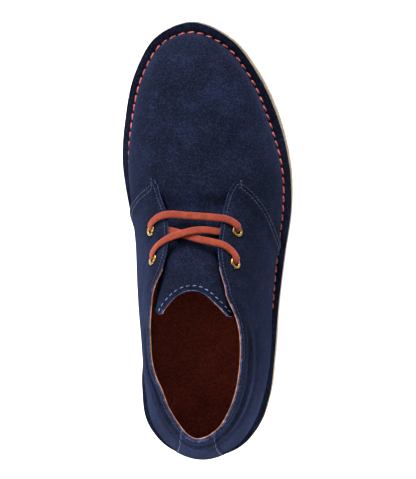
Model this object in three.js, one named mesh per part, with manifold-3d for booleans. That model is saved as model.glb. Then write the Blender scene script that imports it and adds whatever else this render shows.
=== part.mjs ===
// A right-foot chukka boot with two pairs of eyelets, stitched down on a crepe sole.
// Millimetres, +Z up, +Y towards the toe, +X towards the outside of the foot.
// The origin is the middle of the whole boot's box in plan, on the floor.
import * as THREE from "three";
import { mergeVertices } from "three/addons/utils/BufferGeometryUtils.js";
import Module from "manifold-3d";

const wasm = await Module();
wasm.setup();

// ---------- Driving dimensions ----------
const GAP = 0.3; // left between two pieces that meet
const HEEL_LIFT = 11; // heel block, from the floor to the outsole
const OUTSOLE = 6.5; // thickness of the crepe
const MIDSOLE = 3;
const RIM = 1.8; // leather of the upper where it is turned out flat on the midsole
const WALL = 2.2; // suede and lining of the upper
const INSOLE = 3;
const INSOLE_CLEAR = 0.4; // between the insole's edge and the wall's inside
const TONGUE = 2;
const TRIM = 0.5; // midsole and rim are trimmed this far inside the outsole's edge

const TOE_SPRING = 9; // how far the tip of the outsole stands off the floor
const SPRING_START = 65; // the tread leaves the floor here
const TOE_Y = 148.6;
const WAIST = { front: 15, back: -55 }; // the tread rises from the floor to the heel block
const HEEL_BREAST = -60; // front face of the heel block
const SWELL_HEIGHT = 16; // height above the rim at which the walls stand out furthest
const CROWNING = 0.2; // how far a rib's squareness goes into its height, beside an ellipse's

// The outsole's edge in plan, once round: heel, outside, toe, inside.
// rim: from that edge in to the foot of the wall. swell: how far the wall stands out past its foot.
// square: how squarely the wall turns over into the top.
const EDGE = [
  { at: "heel back", x: -2, y: -147.4, rim: 2.3, swell: 1.6, square: 2.2 },
  { at: "heel back, outside", x: 24, y: -139.3, rim: 4.4, swell: 1.6, square: 1.95 },
  { at: "heel corner, outside", x: 37, y: -123.4, rim: 5.4, swell: 1.6, square: 1.7 },
  { at: "heel side, outside", x: 43, y: -105.6, rim: 5.4, swell: 1.8, square: 1.72 },
  { at: "seat, outside", x: 46.5, y: -78, rim: 5, swell: 2.7, square: 1.85 },
  { at: "waist, outside", x: 49.1, y: -44, rim: 5.4, swell: 1.8, square: 1.9 },
  { at: "behind the joint, outside", x: 53.2, y: -9, rim: 6.6, swell: 1.8, square: 2.1 },
  { at: "joint, outside", x: 57.5, y: 22, rim: 7.2, swell: 1.6, square: 2.25 },
  { at: "ball, outside", x: 57.4, y: 46, rim: 7.4, swell: 1.4, square: 2.3 },
  { at: "little toe", x: 50.4, y: 81, rim: 9, swell: 0.8, square: 2.5 },
  { at: "toe corner, outside", x: 36.4, y: 113, rim: 8.4, swell: 0.4, square: 3.1 },
  { at: "toe round, outside", x: 17.4, y: 137.2, rim: 8.6, swell: 0.3, square: 3.8 },
  { at: "toe tip", x: -9.7, y: 148.6, rim: 9, swell: 0.3, square: 4.2 },
  { at: "toe round, inside", x: -34.4, y: 138.4, rim: 7.6, swell: 0.3, square: 3.8 },
  { at: "toe corner, inside", x: -49.2, y: 113.6, rim: 6.6, swell: 0.3, square: 3.1 },
  { at: "big toe", x: -56.2, y: 81, rim: 6, swell: 0.8, square: 2.5 },
  { at: "ball, inside", x: -57.9, y: 54, rim: 5.9, swell: 1.8, square: 2.3 },
  { at: "joint, inside", x: -53.6, y: 23.8, rim: 5.2, swell: 2.8, square: 2.5 },
  { at: "behind the joint, inside", x: -47.2, y: -4, rim: 3.8, swell: 4.3, square: 2.85 },
  { at: "waist, inside", x: -42.8, y: -36, rim: 3, swell: 5.8, square: 4.2 },
  { at: "seat, inside", x: -42.2, y: -68, rim: 3.6, swell: 4.2, square: 3.9 },
  { at: "heel side, inside", x: -43.8, y: -99.6, rim: 5, swell: 1.8, square: 1.85 },
  { at: "heel corner, inside", x: -40, y: -123.6, rim: 5.4, swell: 1.4, square: 1.45 },
  { at: "heel back, inside", x: -27.6, y: -139.3, rim: 4.4, swell: 1.5, square: 1.55 },
];

// The last's top line, from the toe tip to the (cut away) top of its cone.
const RIDGE = [
  { y: 150, z: 45.5, x: -9 },
  { y: 118, z: 51, x: -8 },
  { y: 90, z: 57, x: -7 },
  { y: 60, z: 64.5, x: -6.2 },
  { y: 40, z: 71.5, x: -5.8 },
  { y: 20, z: 80.5, x: -5.2 },
  { y: 0, z: 92.5, x: -4.6 },
  { y: -20, z: 107, x: -4.2 },
  { y: -36, z: 119, x: -3.6 },
  { y: -52, z: 128, x: -3 },
  { y: -70, z: 134, x: -2.4 },
  { y: -95, z: 139, x: -0.4 },
  { y: -150, z: 144, x: 1.2 },
];
const RIBS_FAN_FROM = { toe: 50, heel: -96 }; // ribs turn round these two points of the ridge
const FAN_SOFTNESS = 12;

// The throat between the facings: their edges in plan.
const THROAT = [
  { y: 40, inside: -30, outside: 20 },
  { y: 30, inside: -28.4, outside: 15.8 },
  { y: 20, inside: -24.4, outside: 13.5 },
  { y: 6, inside: -22.2, outside: 11.9 },
  { y: -6, inside: -22.4, outside: 11.8 },
  { y: -18, inside: -25.8, outside: 13.6 },
  { y: -30, inside: -31, outside: 17.4 },
  { y: -60, inside: -33.5, outside: 17 },
];
const THROAT_ENDS = { front: 38, back: -60 };

// The collar's height, from the back of the heel to the top of the facings.
const COLLAR = [
  { y: -140, z: 113.5 },
  { y: -128, z: 112.5 },
  { y: -108, z: 107.5 },
  { y: -82, z: 103.5 },
  { y: -58, z: 103 },
  { y: -40, z: 107.5 },
  { y: -20, z: 116 },
];
const COLLAR_ROUNDING = 4; // radius of the facings' top corners

// Eyelets in plan, and their hardware.
const EYELETS = [
  { name: "eyelet_outside_lower", x: 22.9, y: 5.7 },
  { name: "eyelet_outside_upper", x: 22.1, y: -15.2 },
  { name: "eyelet_inside_lower", x: -32.6, y: 6.5 },
  { name: "eyelet_inside_upper", x: -30.6, y: -12.9 },
];
const EYELET = { hole: 2.1, barrel: 2.7, rim: 3.9, proud: 0.9, bevel: 0.5, sides: 14 };

const LACE = { width: 5.2, thickness: 1.5, bevel: 0.45 };
// Heights of the lace's middle over the last.
const ON_FACING = EYELET.proud + GAP + LACE.thickness;
const ON_TONGUE = 0;
const ON_LACE = ON_TONGUE + LACE.thickness;
const UNDER_FACING = -0.6;

// The front bar, from the outside lower eyelet to the inside one.
const BAR_ROUTE = [
  { x: 22.7, y: 7.5, up: ON_FACING },
  { x: 20.5, y: 10.2, up: ON_FACING },
  { x: 15.5, y: 13.2, up: ON_FACING },
  { x: 6, y: 15.2, up: ON_FACING },
  { x: -8, y: 16.4, up: ON_FACING },
  { x: -19, y: 16.6, up: ON_FACING },
  { x: -26.5, y: 15.4, up: ON_FACING },
  { x: -31, y: 12, up: ON_FACING },
  { x: -32.4, y: 8.3, up: ON_FACING },
];
// The two strands from the upper eyelets, which cross between the facings.
const CROSS_ROUTES = [
  [
    { x: 21.8, y: -13.2, up: ON_FACING },
    { x: 20, y: -8.6, up: ON_FACING },
    { x: 14.6, y: -4, up: ON_FACING },
    { x: 6, y: -0.4, up: ON_LACE },
    { x: -1.5, y: 1.4, up: ON_TONGUE + 0.4 },
    { x: -8, y: 4, up: ON_TONGUE },
    { x: -18, y: 6.6, up: UNDER_FACING },
  ],
  [
    { x: -30.5, y: -10.9, up: ON_FACING },
    { x: -28, y: -5.2, up: ON_FACING },
    { x: -22, y: -0.6, up: ON_FACING },
    { x: -12.6, y: 3.4, up: ON_LACE + 0.4 },
    { x: -4, y: 6, up: ON_LACE },
    { x: 3, y: 7, up: ON_TONGUE + 0.5 },
    { x: 9.4, y: 6.8, up: UNDER_FACING },
  ],
];

// The tongue: its plan, its end's droop at the corners, and its depth below the last.
const TONGUE_PLAN = { front: 54, end: -34, inside: -30, outside: 21, droop: 12 };
const TONGUE_CLEAR = 0.8; // below the lining
const TONGUE_SINK = 3.4; // how much further its end sinks into the empty boot

const SUEDE = { colour: 0x262d4e, roughness: 0.95 };
const CREPE = { colour: 0xb79a7c, roughness: 0.85 };
const LEATHERBOARD = { colour: 0xa9876a, roughness: 0.8 };
const LINING = { colour: 0x3a1512, roughness: 0.7 };
const BRASS = { colour: 0xb8985a, roughness: 0.3, metalness: 1 };
const LACE_CORD = { colour: 0xc2553c, roughness: 0.9 };

// How finely the faceted solids are cut.
const COLUMNS = 36; // ribs down each side
const WALL_ROWS = 9;
const TOP_ROWS = 7;
const SPINE_SHARE = 0.07; // the ribs stop this share of their length short of the ridge
const TONGUE_ROWS = 13;
const TONGUE_STEPS = 12;
const LACE_STEPS = 22;

// ---------- Smooth curves through the tables ----------
const clamp = THREE.MathUtils.clamp;
const lerp = THREE.MathUtils.lerp;

// A cubic through four values at four knots, between the middle two.
function cubic(k, v, t) {
  const slope = (a, b) => (v[b] - v[a]) / (k[b] - k[a]);
  const blend = (a, b, c) =>
    (slope(a, b) * (k[c] - k[b]) + slope(b, c) * (k[b] - k[a])) / (k[c] - k[a]);
  const span = k[2] - k[1];
  const m1 = (k[0] === k[1] ? slope(1, 2) : blend(0, 1, 2)) * span;
  const m2 = (k[3] === k[2] ? slope(1, 2) : blend(1, 2, 3)) * span;
  const s = (t - k[1]) / span;
  const rise = v[2] - v[1];
  return v[1] + s * (m1 + s * (3 * rise - 2 * m1 - m2 + s * (m1 + m2 - 2 * rise)));
}

// One column of an open table, read at y.
function along(table, column, y) {
  const up = table[0].y < table.at(-1).y ? table : [...table].reverse();
  const at = clamp(y, up[0].y, up.at(-1).y);
  let i = 0;
  while (i < up.length - 2 && up[i + 1].y < at) i += 1;
  const rows = [up[Math.max(i - 1, 0)], up[i], up[i + 1], up[Math.min(i + 2, up.length - 1)]];
  return cubic(rows.map((r) => r.y), rows.map((r) => r[column]), at);
}

// One column of the closed EDGE table. u counts rows, from 0 at the heel's back.
const EDGE_CHORDS = EDGE.map((row, i) => {
  const next = EDGE[(i + 1) % EDGE.length];
  return Math.hypot(next.x - row.x, next.y - row.y);
});
function around(column, u) {
  const n = EDGE.length;
  const i = Math.floor(u);
  const row = (j) => EDGE[(((i + j) % n) + n) % n][column];
  const chord = (j) => EDGE_CHORDS[(((i + j) % n) + n) % n];
  const knots = [-chord(-1), 0, chord(0), chord(0) + chord(1)];
  return cubic(knots, [row(-1), row(0), row(1), row(2)], (u - i) * chord(0));
}
const HEEL_U = 0;
const TOE_U = EDGE.findIndex((row) => row.at === "toe tip");

// ---------- The sole's levels ----------
// The underside of the outsole: flat under the ball, up to the heel block, and up at the toe.
function treadZ(y) {
  if (y > SPRING_START) {
    return TOE_SPRING * ((y - SPRING_START) / (TOE_Y - SPRING_START)) ** 2;
  }
  const t = clamp((WAIST.front - y) / (WAIST.front - WAIST.back), 0, 1);
  return HEEL_LIFT * t * t * (3 - 2 * t);
}
const MIDSOLE_UP = OUTSOLE + GAP;
const RIM_UP = MIDSOLE_UP + MIDSOLE + GAP;
const footZ = (y) => treadZ(y) + RIM_UP + RIM; // top of the rim, where the wall begins

// ---------- Plan outlines ----------
// The outsole's edge moved in by a distance.
function outline(u, inset) {
  const du = 1e-3;
  const tangent = new THREE.Vector2(
    around("x", u + du) - around("x", u - du),
    around("y", u + du) - around("y", u - du),
  ).normalize();
  const point = new THREE.Vector2(around("x", u), around("y", u));
  return point.add(new THREE.Vector2(-tangent.y, tangent.x).multiplyScalar(inset));
}
const wallFoot = (u) => outline(u, around("rim", u));

// Where one side of an outline reaches y. Side 1 is the outside of the foot, -1 the inside.
function parameterAt(curve, side, y) {
  let heelEnd = side > 0 ? HEEL_U : EDGE.length;
  let toeEnd = TOE_U;
  for (let step = 0; step < 40; step += 1) {
    const middle = (heelEnd + toeEnd) / 2;
    if (curve(middle).y < y) heelEnd = middle;
    else toeEnd = middle;
  }
  return (heelEnd + toeEnd) / 2;
}

// Matched stations from the heel's back to the toe's tip, closest where the ends are round.
function stations(curve, count) {
  const heel = curve(HEEL_U).y;
  const toe = curve(TOE_U).y;
  return Array.from({ length: count + 1 }, (_, i) => {
    if (i === 0) return { outside: HEEL_U, inside: HEEL_U };
    if (i === count) return { outside: TOE_U, inside: TOE_U };
    const y = lerp(heel, toe, (1 - Math.cos((Math.PI * i) / count)) / 2);
    return { outside: parameterAt(curve, 1, y), inside: parameterAt(curve, -1, y) };
  });
}

// ---------- The last ----------
// Each rib rises from the wall's foot and turns over to a point of the ridge.
function ribRoot(foot) {
  const { toe, heel } = RIBS_FAN_FROM;
  const front = foot.y - FAN_SOFTNESS * Math.log1p(Math.exp((foot.y - toe) / FAN_SOFTNESS));
  const y = front + FAN_SOFTNESS * Math.log1p(Math.exp((heel - front) / FAN_SOFTNESS));
  return new THREE.Vector2(along(RIDGE, "x", y), y);
}
const heightPower = (square) => 2 + CROWNING * (square - 2);

// A point of the last. turn goes from 0 at the wall's foot to a quarter turn at the ridge.
function lastPoint(u, turn) {
  const foot = wallFoot(u);
  const root = ribRoot(foot);
  const square = around("square", u);
  const reach = Math.max(Math.cos(turn), 0) ** (2 / square);
  const climb = Math.sin(turn) ** (2 / heightPower(square));
  const plan = root.clone().lerp(foot, reach);
  const base = footZ(foot.y);
  const z = lerp(base, along(RIDGE, "z", plan.y), climb);
  const h = (z - base) / SWELL_HEIGHT;
  const out = outline(u, 0).sub(foot).normalize();
  plan.addScaledVector(out, around("swell", u) * h * Math.exp(1 - h));
  return new THREE.Vector3(plan.x, plan.y, z);
}

function lastNormal(u, turn) {
  const e = 1e-3;
  const low = Math.max(turn - e, 0);
  const across = lastPoint(u + e, turn).sub(lastPoint(u - e, turn));
  return across.cross(lastPoint(u, turn + e).sub(lastPoint(u, low))).normalize();
}
const skin = (u, turn, lift) => lastPoint(u, turn).addScaledVector(lastNormal(u, turn), lift);

// The rib that passes over a place near the top of the last.
function ribOver(x, y) {
  const side = x > along(RIDGE, "x", y) ? 1 : -1;
  const place = new THREE.Vector2(x, y);
  let heelEnd = side > 0 ? HEEL_U : EDGE.length;
  let toeEnd = TOE_U;
  for (let step = 0; step < 40; step += 1) {
    const middle = (heelEnd + toeEnd) / 2;
    const foot = wallFoot(middle);
    const root = ribRoot(foot);
    if (foot.sub(root).cross(place.clone().sub(root)) * side > 0) heelEnd = middle;
    else toeEnd = middle;
  }
  const u = (heelEnd + toeEnd) / 2;
  const foot = wallFoot(u);
  const root = ribRoot(foot);
  const reach = clamp(place.distanceTo(root) / foot.distanceTo(root), 0.02, 1);
  return { u, turn: Math.acos(reach ** (around("square", u) / 2)) };
}
function over(x, y, lift) {
  const { u, turn } = ribOver(x, y);
  return skin(u, turn, lift);
}

// How far a point lies inside the opening of throat and collar; negative on the leather.
function insideOpening(p) {
  const above = p.z - along(COLLAR, "z", p.y);
  const between = Math.min(
    p.x - along(THROAT, "inside", p.y),
    along(THROAT, "outside", p.y) - p.x,
  );
  const reach = Math.min(between, THROAT_ENDS.front - p.y, p.y - THROAT_ENDS.back);
  const r = COLLAR_ROUNDING;
  const mix = Math.max(r - Math.abs(above - reach), 0) / r;
  return Math.max(above, reach) + (mix * mix * r) / 4;
}

// The turn at which a rib meets the edge of the opening.
function edgeTurn(u) {
  let below = 0.2;
  let beyond = Math.PI / 2;
  for (let step = 0; step < 30; step += 1) {
    const middle = (below + beyond) / 2;
    if (insideOpening(lastPoint(u, middle)) < 0) below = middle;
    else beyond = middle;
  }
  return below;
}

// ---------- Faceted solids ----------
class Facets {
  constructor() {
    this.positions = [];
    this.indices = [];
  }
  point(v) {
    this.positions.push(v.x, v.y, v.z);
    return this.positions.length / 3 - 1;
  }
  face(...corners) {
    for (let i = 1; i < corners.length - 1; i += 1) {
      const [a, b, c] = [corners[0], corners[i], corners[i + 1]];
      if (a !== b && b !== c && c !== a) this.indices.push(a, b, c);
    }
  }
  geometry() {
    const made = new THREE.BufferGeometry();
    made.setAttribute("position", new THREE.Float32BufferAttribute(this.positions, 3));
    made.setIndex(this.indices);
    return made;
  }
}

function toSolid(geometry) {
  const bare = geometry.clone();
  bare.deleteAttribute("normal");
  bare.deleteAttribute("uv");
  const merged = mergeVertices(bare, 1e-4);
  return new wasm.Manifold(
    new wasm.Mesh({
      numProp: 3,
      vertProperties: merged.attributes.position.array,
      triVerts: new Uint32Array(merged.index.array),
    }),
  );
}
function toGeometry(solid) {
  const { vertProperties, triVerts } = solid.getMesh();
  const made = new THREE.BufferGeometry();
  made.setAttribute("position", new THREE.BufferAttribute(vertProperties, 3));
  made.setIndex(new THREE.BufferAttribute(triVerts, 1));
  return made;
}

function meshOf(name, geometry, { colour, roughness, metalness = 0 }) {
  const material = new THREE.MeshStandardMaterial({ color: colour, roughness, metalness });
  const mesh = new THREE.Mesh(geometry, material);
  mesh.name = name;
  return mesh;
}

// A layer of the sole: an outline from the heel up to yEnd, between two heights given along y.
function slab(curve, count, bottom, top, yEnd = Infinity) {
  const facets = new Facets();
  let columns = stations(curve, count);
  if (yEnd < Infinity) {
    columns = columns.filter(({ outside }) => curve(outside).y < yEnd - 1);
    columns.push({ outside: parameterAt(curve, 1, yEnd), inside: parameterAt(curve, -1, yEnd) });
  }
  const corner = (u, height) => {
    const { x, y } = curve(u);
    return facets.point(new THREE.Vector3(x, y, height(y)));
  };
  const rows = columns.map(({ outside, inside }) => {
    const row = { outLow: corner(outside, bottom), outHigh: corner(outside, top) };
    const single = outside === inside;
    row.inLow = single ? row.outLow : corner(inside, bottom);
    row.inHigh = single ? row.outHigh : corner(inside, top);
    return row;
  });
  for (let i = 0; i < rows.length - 1; i += 1) {
    const [a, b] = [rows[i], rows[i + 1]];
    facets.face(a.outHigh, b.outHigh, b.inHigh, a.inHigh);
    facets.face(a.outLow, a.inLow, b.inLow, b.outLow);
    facets.face(a.outLow, b.outLow, b.outHigh, a.outHigh);
    facets.face(b.inLow, a.inLow, a.inHigh, b.inHigh);
  }
  const last = rows.at(-1);
  if (last.outLow !== last.inLow) facets.face(last.outLow, last.inLow, last.inHigh, last.outHigh);
  return facets.geometry();
}

// The upper's wall with its turned-out rim: one skin round the last, open at throat, collar and below.
function upperShell() {
  const facets = new Facets();
  const matched = stations(wallFoot, COLUMNS);
  const loop = [
    ...matched.map((s) => s.outside),
    ...matched.slice(1, -1).reverse().map((s) => s.inside),
  ];
  const opposite = (c) => (loop.length - c) % loop.length;
  const isVamp = matched.map((s) => wallFoot(s.outside).y >= THROAT_ENDS.front);
  const firstVamp = isVamp.indexOf(true);
  const lastVamp = opposite(firstVamp);
  const vampSpan = (c) => c >= firstVamp && c < lastVamp;
  const vampTurn = { outside: edgeTurn(loop[firstVamp - 1]), inside: edgeTurn(loop[lastVamp + 1]) };

  const columns = loop.map((u, c) => {
    const inVamp = c >= firstVamp && c <= lastVamp;
    const share = clamp((c - firstVamp) / (lastVamp - firstVamp), 0, 1);
    const top = inVamp ? lerp(vampTurn.outside, vampTurn.inside, share) : edgeTurn(u);
    const turns = Array.from({ length: WALL_ROWS + 1 }, (_, j) => (top * j) / WALL_ROWS);
    const flat = (inset, up) => {
      const { x, y } = outline(u, inset);
      return facets.point(new THREE.Vector3(x, y, treadZ(y) + up));
    };
    const outer = turns.map((turn) => facets.point(skin(u, turn, 0)));
    const inner = turns.map((turn) => facets.point(skin(u, turn, -WALL)));
    const ring = [
      flat(TRIM, RIM_UP),
      flat(TRIM, RIM_UP + RIM),
      ...outer,
      ...[...inner].reverse(),
      flat(around("rim", u) + WALL, RIM_UP),
    ];
    const column = { ring, outerTop: [outer.at(-1)], innerTop: [inner.at(-1)] };
    if (!inVamp) return column;
    const square = around("square", u);
    const reachTop = Math.cos(top) ** (2 / square);
    for (let q = 1; q <= TOP_ROWS; q += 1) {
      const turn = Math.acos(lerp(reachTop, SPINE_SHARE, q / TOP_ROWS) ** (square / 2));
      column.outerTop.push(facets.point(skin(u, turn, 0)));
      column.innerTop.push(facets.point(skin(u, turn, -WALL)));
    }
    return column;
  });

  const topCorner = 2 + WALL_ROWS; // the ring's step from outer to inner wall
  columns.forEach((a, c) => {
    const b = columns[(c + 1) % columns.length];
    a.ring.forEach((_, s) => {
      const t = (s + 1) % a.ring.length;
      if (s === topCorner && vampSpan(c)) return;
      facets.face(a.ring[s], b.ring[s], b.ring[t], a.ring[t]);
    });
    if (!vampSpan(c)) return;
    for (let q = 0; q < TOP_ROWS; q += 1) {
      facets.face(a.outerTop[q], b.outerTop[q], b.outerTop[q + 1], a.outerTop[q + 1]);
      facets.face(a.innerTop[q], a.innerTop[q + 1], b.innerTop[q + 1], b.innerTop[q]);
    }
  });

  // Along the ridge the two sides are joined, and at the throat the cut edge is closed.
  for (let c = firstVamp; c < COLUMNS; c += 1) {
    const [a, b] = [columns[c], columns[c + 1]];
    const [d, e] = [columns[opposite(c)], columns[opposite(c + 1)]];
    facets.face(a.outerTop.at(-1), b.outerTop.at(-1), e.outerTop.at(-1), d.outerTop.at(-1));
    facets.face(a.innerTop.at(-1), d.innerTop.at(-1), e.innerTop.at(-1), b.innerTop.at(-1));
  }
  const [right, left] = [columns[firstVamp], columns[lastVamp]];
  for (let q = 0; q < TOP_ROWS; q += 1) {
    facets.face(right.outerTop[q], right.outerTop[q + 1], right.innerTop[q + 1], right.innerTop[q]);
    facets.face(left.outerTop[q], left.innerTop[q], left.innerTop[q + 1], left.outerTop[q + 1]);
  }
  facets.face(
    right.outerTop.at(-1),
    left.outerTop.at(-1),
    left.innerTop.at(-1),
    right.innerTop.at(-1),
  );
  return toSolid(facets.geometry());
}

// The tongue: a curved plate under the throat, tucked in under the vamp and free at its end.
function tonguePlate() {
  const facets = new Facets();
  const [rows, steps] = [TONGUE_ROWS, TONGUE_STEPS];
  const grid = [];
  for (let i = 0; i <= rows; i += 1) {
    const s = i / rows;
    const line = [];
    for (let j = 0; j <= steps; j += 1) {
      const x = lerp(TONGUE_PLAN.outside, TONGUE_PLAN.inside, j / steps);
      const bow = (2 * j) / steps - 1;
      const end = TONGUE_PLAN.end - TONGUE_PLAN.droop * bow * bow;
      const y = lerp(TONGUE_PLAN.front, end, s);
      const depth = WALL + TONGUE_CLEAR + TONGUE_SINK * s * s;
      line.push([facets.point(over(x, y, -depth)), facets.point(over(x, y, -depth - TONGUE))]);
    }
    grid.push(line);
  }
  for (let i = 0; i < rows; i += 1) {
    for (let j = 0; j < steps; j += 1) {
      const [a, b, c, d] = [grid[i][j], grid[i][j + 1], grid[i + 1][j + 1], grid[i + 1][j]];
      facets.face(a[0], b[0], c[0], d[0]);
      facets.face(a[1], d[1], c[1], b[1]);
    }
    for (const [j, flip] of [[0, false], [steps, true]]) {
      const [a, d] = [grid[i][j], grid[i + 1][j]];
      if (flip) facets.face(a[0], a[1], d[1], d[0]);
      else facets.face(a[0], d[0], d[1], a[1]);
    }
  }
  for (let j = 0; j < steps; j += 1) {
    const [a, b] = [grid[0][j], grid[0][j + 1]];
    const [c, d] = [grid[rows][j], grid[rows][j + 1]];
    facets.face(a[0], a[1], b[1], b[0]);
    facets.face(c[0], d[0], d[1], c[1]);
  }
  return facets.geometry();
}

// ---------- Eyelets ----------
function seatOn({ x, y }) {
  const { u, turn } = ribOver(x, y);
  const upright = new THREE.Quaternion().setFromUnitVectors(
    new THREE.Vector3(0, 1, 0),
    lastNormal(u, turn),
  );
  return { position: lastPoint(u, turn), upright };
}
// Profile from the barrel's inner end, out round the rim and back down the hole.
function eyeletGeometry() {
  const { hole, barrel, rim, proud, bevel, sides } = EYELET;
  const inside = -WALL - GAP;
  const profile = [
    [hole, inside],
    [barrel, inside],
    [barrel, GAP],
    [rim, GAP],
    [rim - bevel, proud + GAP],
    [hole + GAP, proud + GAP],
    [hole, proud],
    [hole, inside],
  ];
  return new THREE.LatheGeometry(profile.map(([r, h]) => new THREE.Vector2(r, h)), sides);
}
function eyeletHole(eyelet) {
  const { position, upright } = seatOn(eyelet);
  const radius = EYELET.barrel + GAP;
  const punch = new THREE.CylinderGeometry(radius, radius, 6 * WALL, EYELET.sides);
  punch.applyQuaternion(upright).translate(position.x, position.y, position.z);
  return toSolid(punch);
}

// ---------- Laces ----------
// The lace's section: across it, then through it, once round.
function laceSection() {
  const { width, thickness, bevel } = LACE;
  const [across, through] = [width / 2, thickness / 2];
  const corners = [];
  for (const [a, b] of [[1, 1], [-1, 1], [-1, -1], [1, -1]]) {
    const side = { across: a * across, through: b * (through - bevel) };
    const face = { across: a * (across - bevel), through: b * through };
    corners.push(...(a === b ? [side, face] : [face, side]));
  }
  return corners;
}
// A flat lace laid through places given in plan with a height above the last.
function laceAlong(places) {
  const facets = new Facets();
  const route = new THREE.CatmullRomCurve3(places.map(({ x, y, up }) => over(x, y, up)));
  const section = laceSection();
  const rings = Array.from({ length: LACE_STEPS + 1 }, (_, i) => {
    const place = route.getPointAt(i / LACE_STEPS);
    const forward = route.getTangentAt(i / LACE_STEPS);
    const { u, turn } = ribOver(place.x, place.y);
    const sideways = lastNormal(u, turn).cross(forward).normalize();
    const out = forward.clone().cross(sideways);
    return section.map(({ across, through }) => {
      const corner = place.clone().addScaledVector(sideways, across);
      return facets.point(corner.addScaledVector(out, through));
    });
  });
  for (let i = 0; i < LACE_STEPS; i += 1) {
    section.forEach((_, s) => {
      const t = (s + 1) % section.length;
      facets.face(rings[i][s], rings[i][t], rings[i + 1][t], rings[i + 1][s]);
    });
  }
  facets.face(...[...rings[0]].reverse());
  facets.face(...rings[LACE_STEPS]);
  return facets.geometry();
}

// ---------- Assembly ----------
const boot = new THREE.Group();
const edge = (u) => outline(u, 0);
const trimmed = (u) => outline(u, TRIM);
const inner = (u) => outline(u, around("rim", u) + WALL + INSOLE_CLEAR);
const at = (up) => (y) => treadZ(y) + up;

const heel = slab(edge, COLUMNS, () => 0, () => HEEL_LIFT - GAP, HEEL_BREAST);
boot.add(meshOf("heel", heel, CREPE));
boot.add(meshOf("outsole", slab(edge, COLUMNS, at(0), at(OUTSOLE)), CREPE));
boot.add(
  meshOf("midsole", slab(trimmed, COLUMNS, at(MIDSOLE_UP), at(MIDSOLE_UP + MIDSOLE)), LEATHERBOARD));
boot.add(meshOf("insole", slab(inner, COLUMNS, at(RIM_UP), at(RIM_UP + INSOLE)), LINING));

const holes = EYELETS.map(eyeletHole);
const upper = holes.reduce((solid, hole) => solid.subtract(hole), upperShell());
boot.add(meshOf("upper", toGeometry(upper), SUEDE));
boot.add(meshOf("tongue", tonguePlate(), SUEDE));

for (const eyelet of EYELETS) {
  const { position, upright } = seatOn(eyelet);
  const mesh = meshOf(eyelet.name, eyeletGeometry(), BRASS);
  mesh.position.copy(position);
  mesh.quaternion.copy(upright);
  boot.add(mesh);
}

boot.add(meshOf("lace_bar", laceAlong(BAR_ROUTE), LACE_CORD));
const crossing = CROSS_ROUTES.map((route) => toSolid(laceAlong(route)));
boot.add(meshOf("lace_crossing", toGeometry(crossing[0].add(crossing[1])), LACE_CORD));

// The origin goes to the middle of the boot's box in plan.
const box = new THREE.Box3().setFromObject(boot);
const middle = box.getCenter(new THREE.Vector3());
boot.position.set(-middle.x, -middle.y, 0);

export default boot;
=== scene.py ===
"""A stitched-down suede chukka boot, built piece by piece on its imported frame."""

import math

import bmesh
import bpy
import numpy as np
from bpy.props import FloatProperty, FloatVectorProperty, IntProperty, PointerProperty
from mathutils import Matrix, Vector, noise
from mathutils.bvhtree import BVHTree
from mathutils.kdtree import KDTree


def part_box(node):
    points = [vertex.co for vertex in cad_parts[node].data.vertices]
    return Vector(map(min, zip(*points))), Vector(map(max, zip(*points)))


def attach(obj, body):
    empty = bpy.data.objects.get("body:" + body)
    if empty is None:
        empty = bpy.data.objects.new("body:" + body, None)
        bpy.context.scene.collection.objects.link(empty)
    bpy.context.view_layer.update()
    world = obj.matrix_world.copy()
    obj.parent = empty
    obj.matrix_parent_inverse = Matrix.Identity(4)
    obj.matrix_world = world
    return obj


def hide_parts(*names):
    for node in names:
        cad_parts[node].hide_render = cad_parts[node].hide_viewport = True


bl_info = {
    "name": "Chukka Boot",
    "version": (1, 0, 0),
    "blender": (4, 5, 0),
    "location": "View3D > Sidebar > Chukka Boot",
    "description": "Makes a stitched-down suede chukka boot, piece by piece",
    "category": "Add Mesh",
}

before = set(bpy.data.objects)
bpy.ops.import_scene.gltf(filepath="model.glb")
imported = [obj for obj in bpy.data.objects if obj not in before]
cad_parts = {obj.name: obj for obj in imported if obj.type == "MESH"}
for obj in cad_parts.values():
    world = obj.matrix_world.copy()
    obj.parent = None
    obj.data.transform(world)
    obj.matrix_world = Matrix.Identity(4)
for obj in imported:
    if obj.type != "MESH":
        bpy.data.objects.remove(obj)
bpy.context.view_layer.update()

MM = 0.001

# ---------------------------------------------------------------------------------------
# The last and the sole, in millimetres: +Y to the toe, +X to the outside, +Z up.
# ---------------------------------------------------------------------------------------
GAP = 0.3
HEEL_LIFT = 11.0
OUTSOLE = 6.5
MIDSOLE = 3.0
RIM = 1.8  # the upper's leather where it is turned out on the midsole
INSOLE = 3.0
TOE_SPRING = 9.0
SPRING_START = 65.0
TOE_Y = 148.6
WAIST_FRONT = 15.0
WAIST_BACK = -55.0
HEEL_BREAST = -60.0
SWELL_HEIGHT = 16.0
CROWNING = 0.2
MIDSOLE_UP = OUTSOLE + GAP
RIM_UP = MIDSOLE_UP + MIDSOLE + GAP

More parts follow.
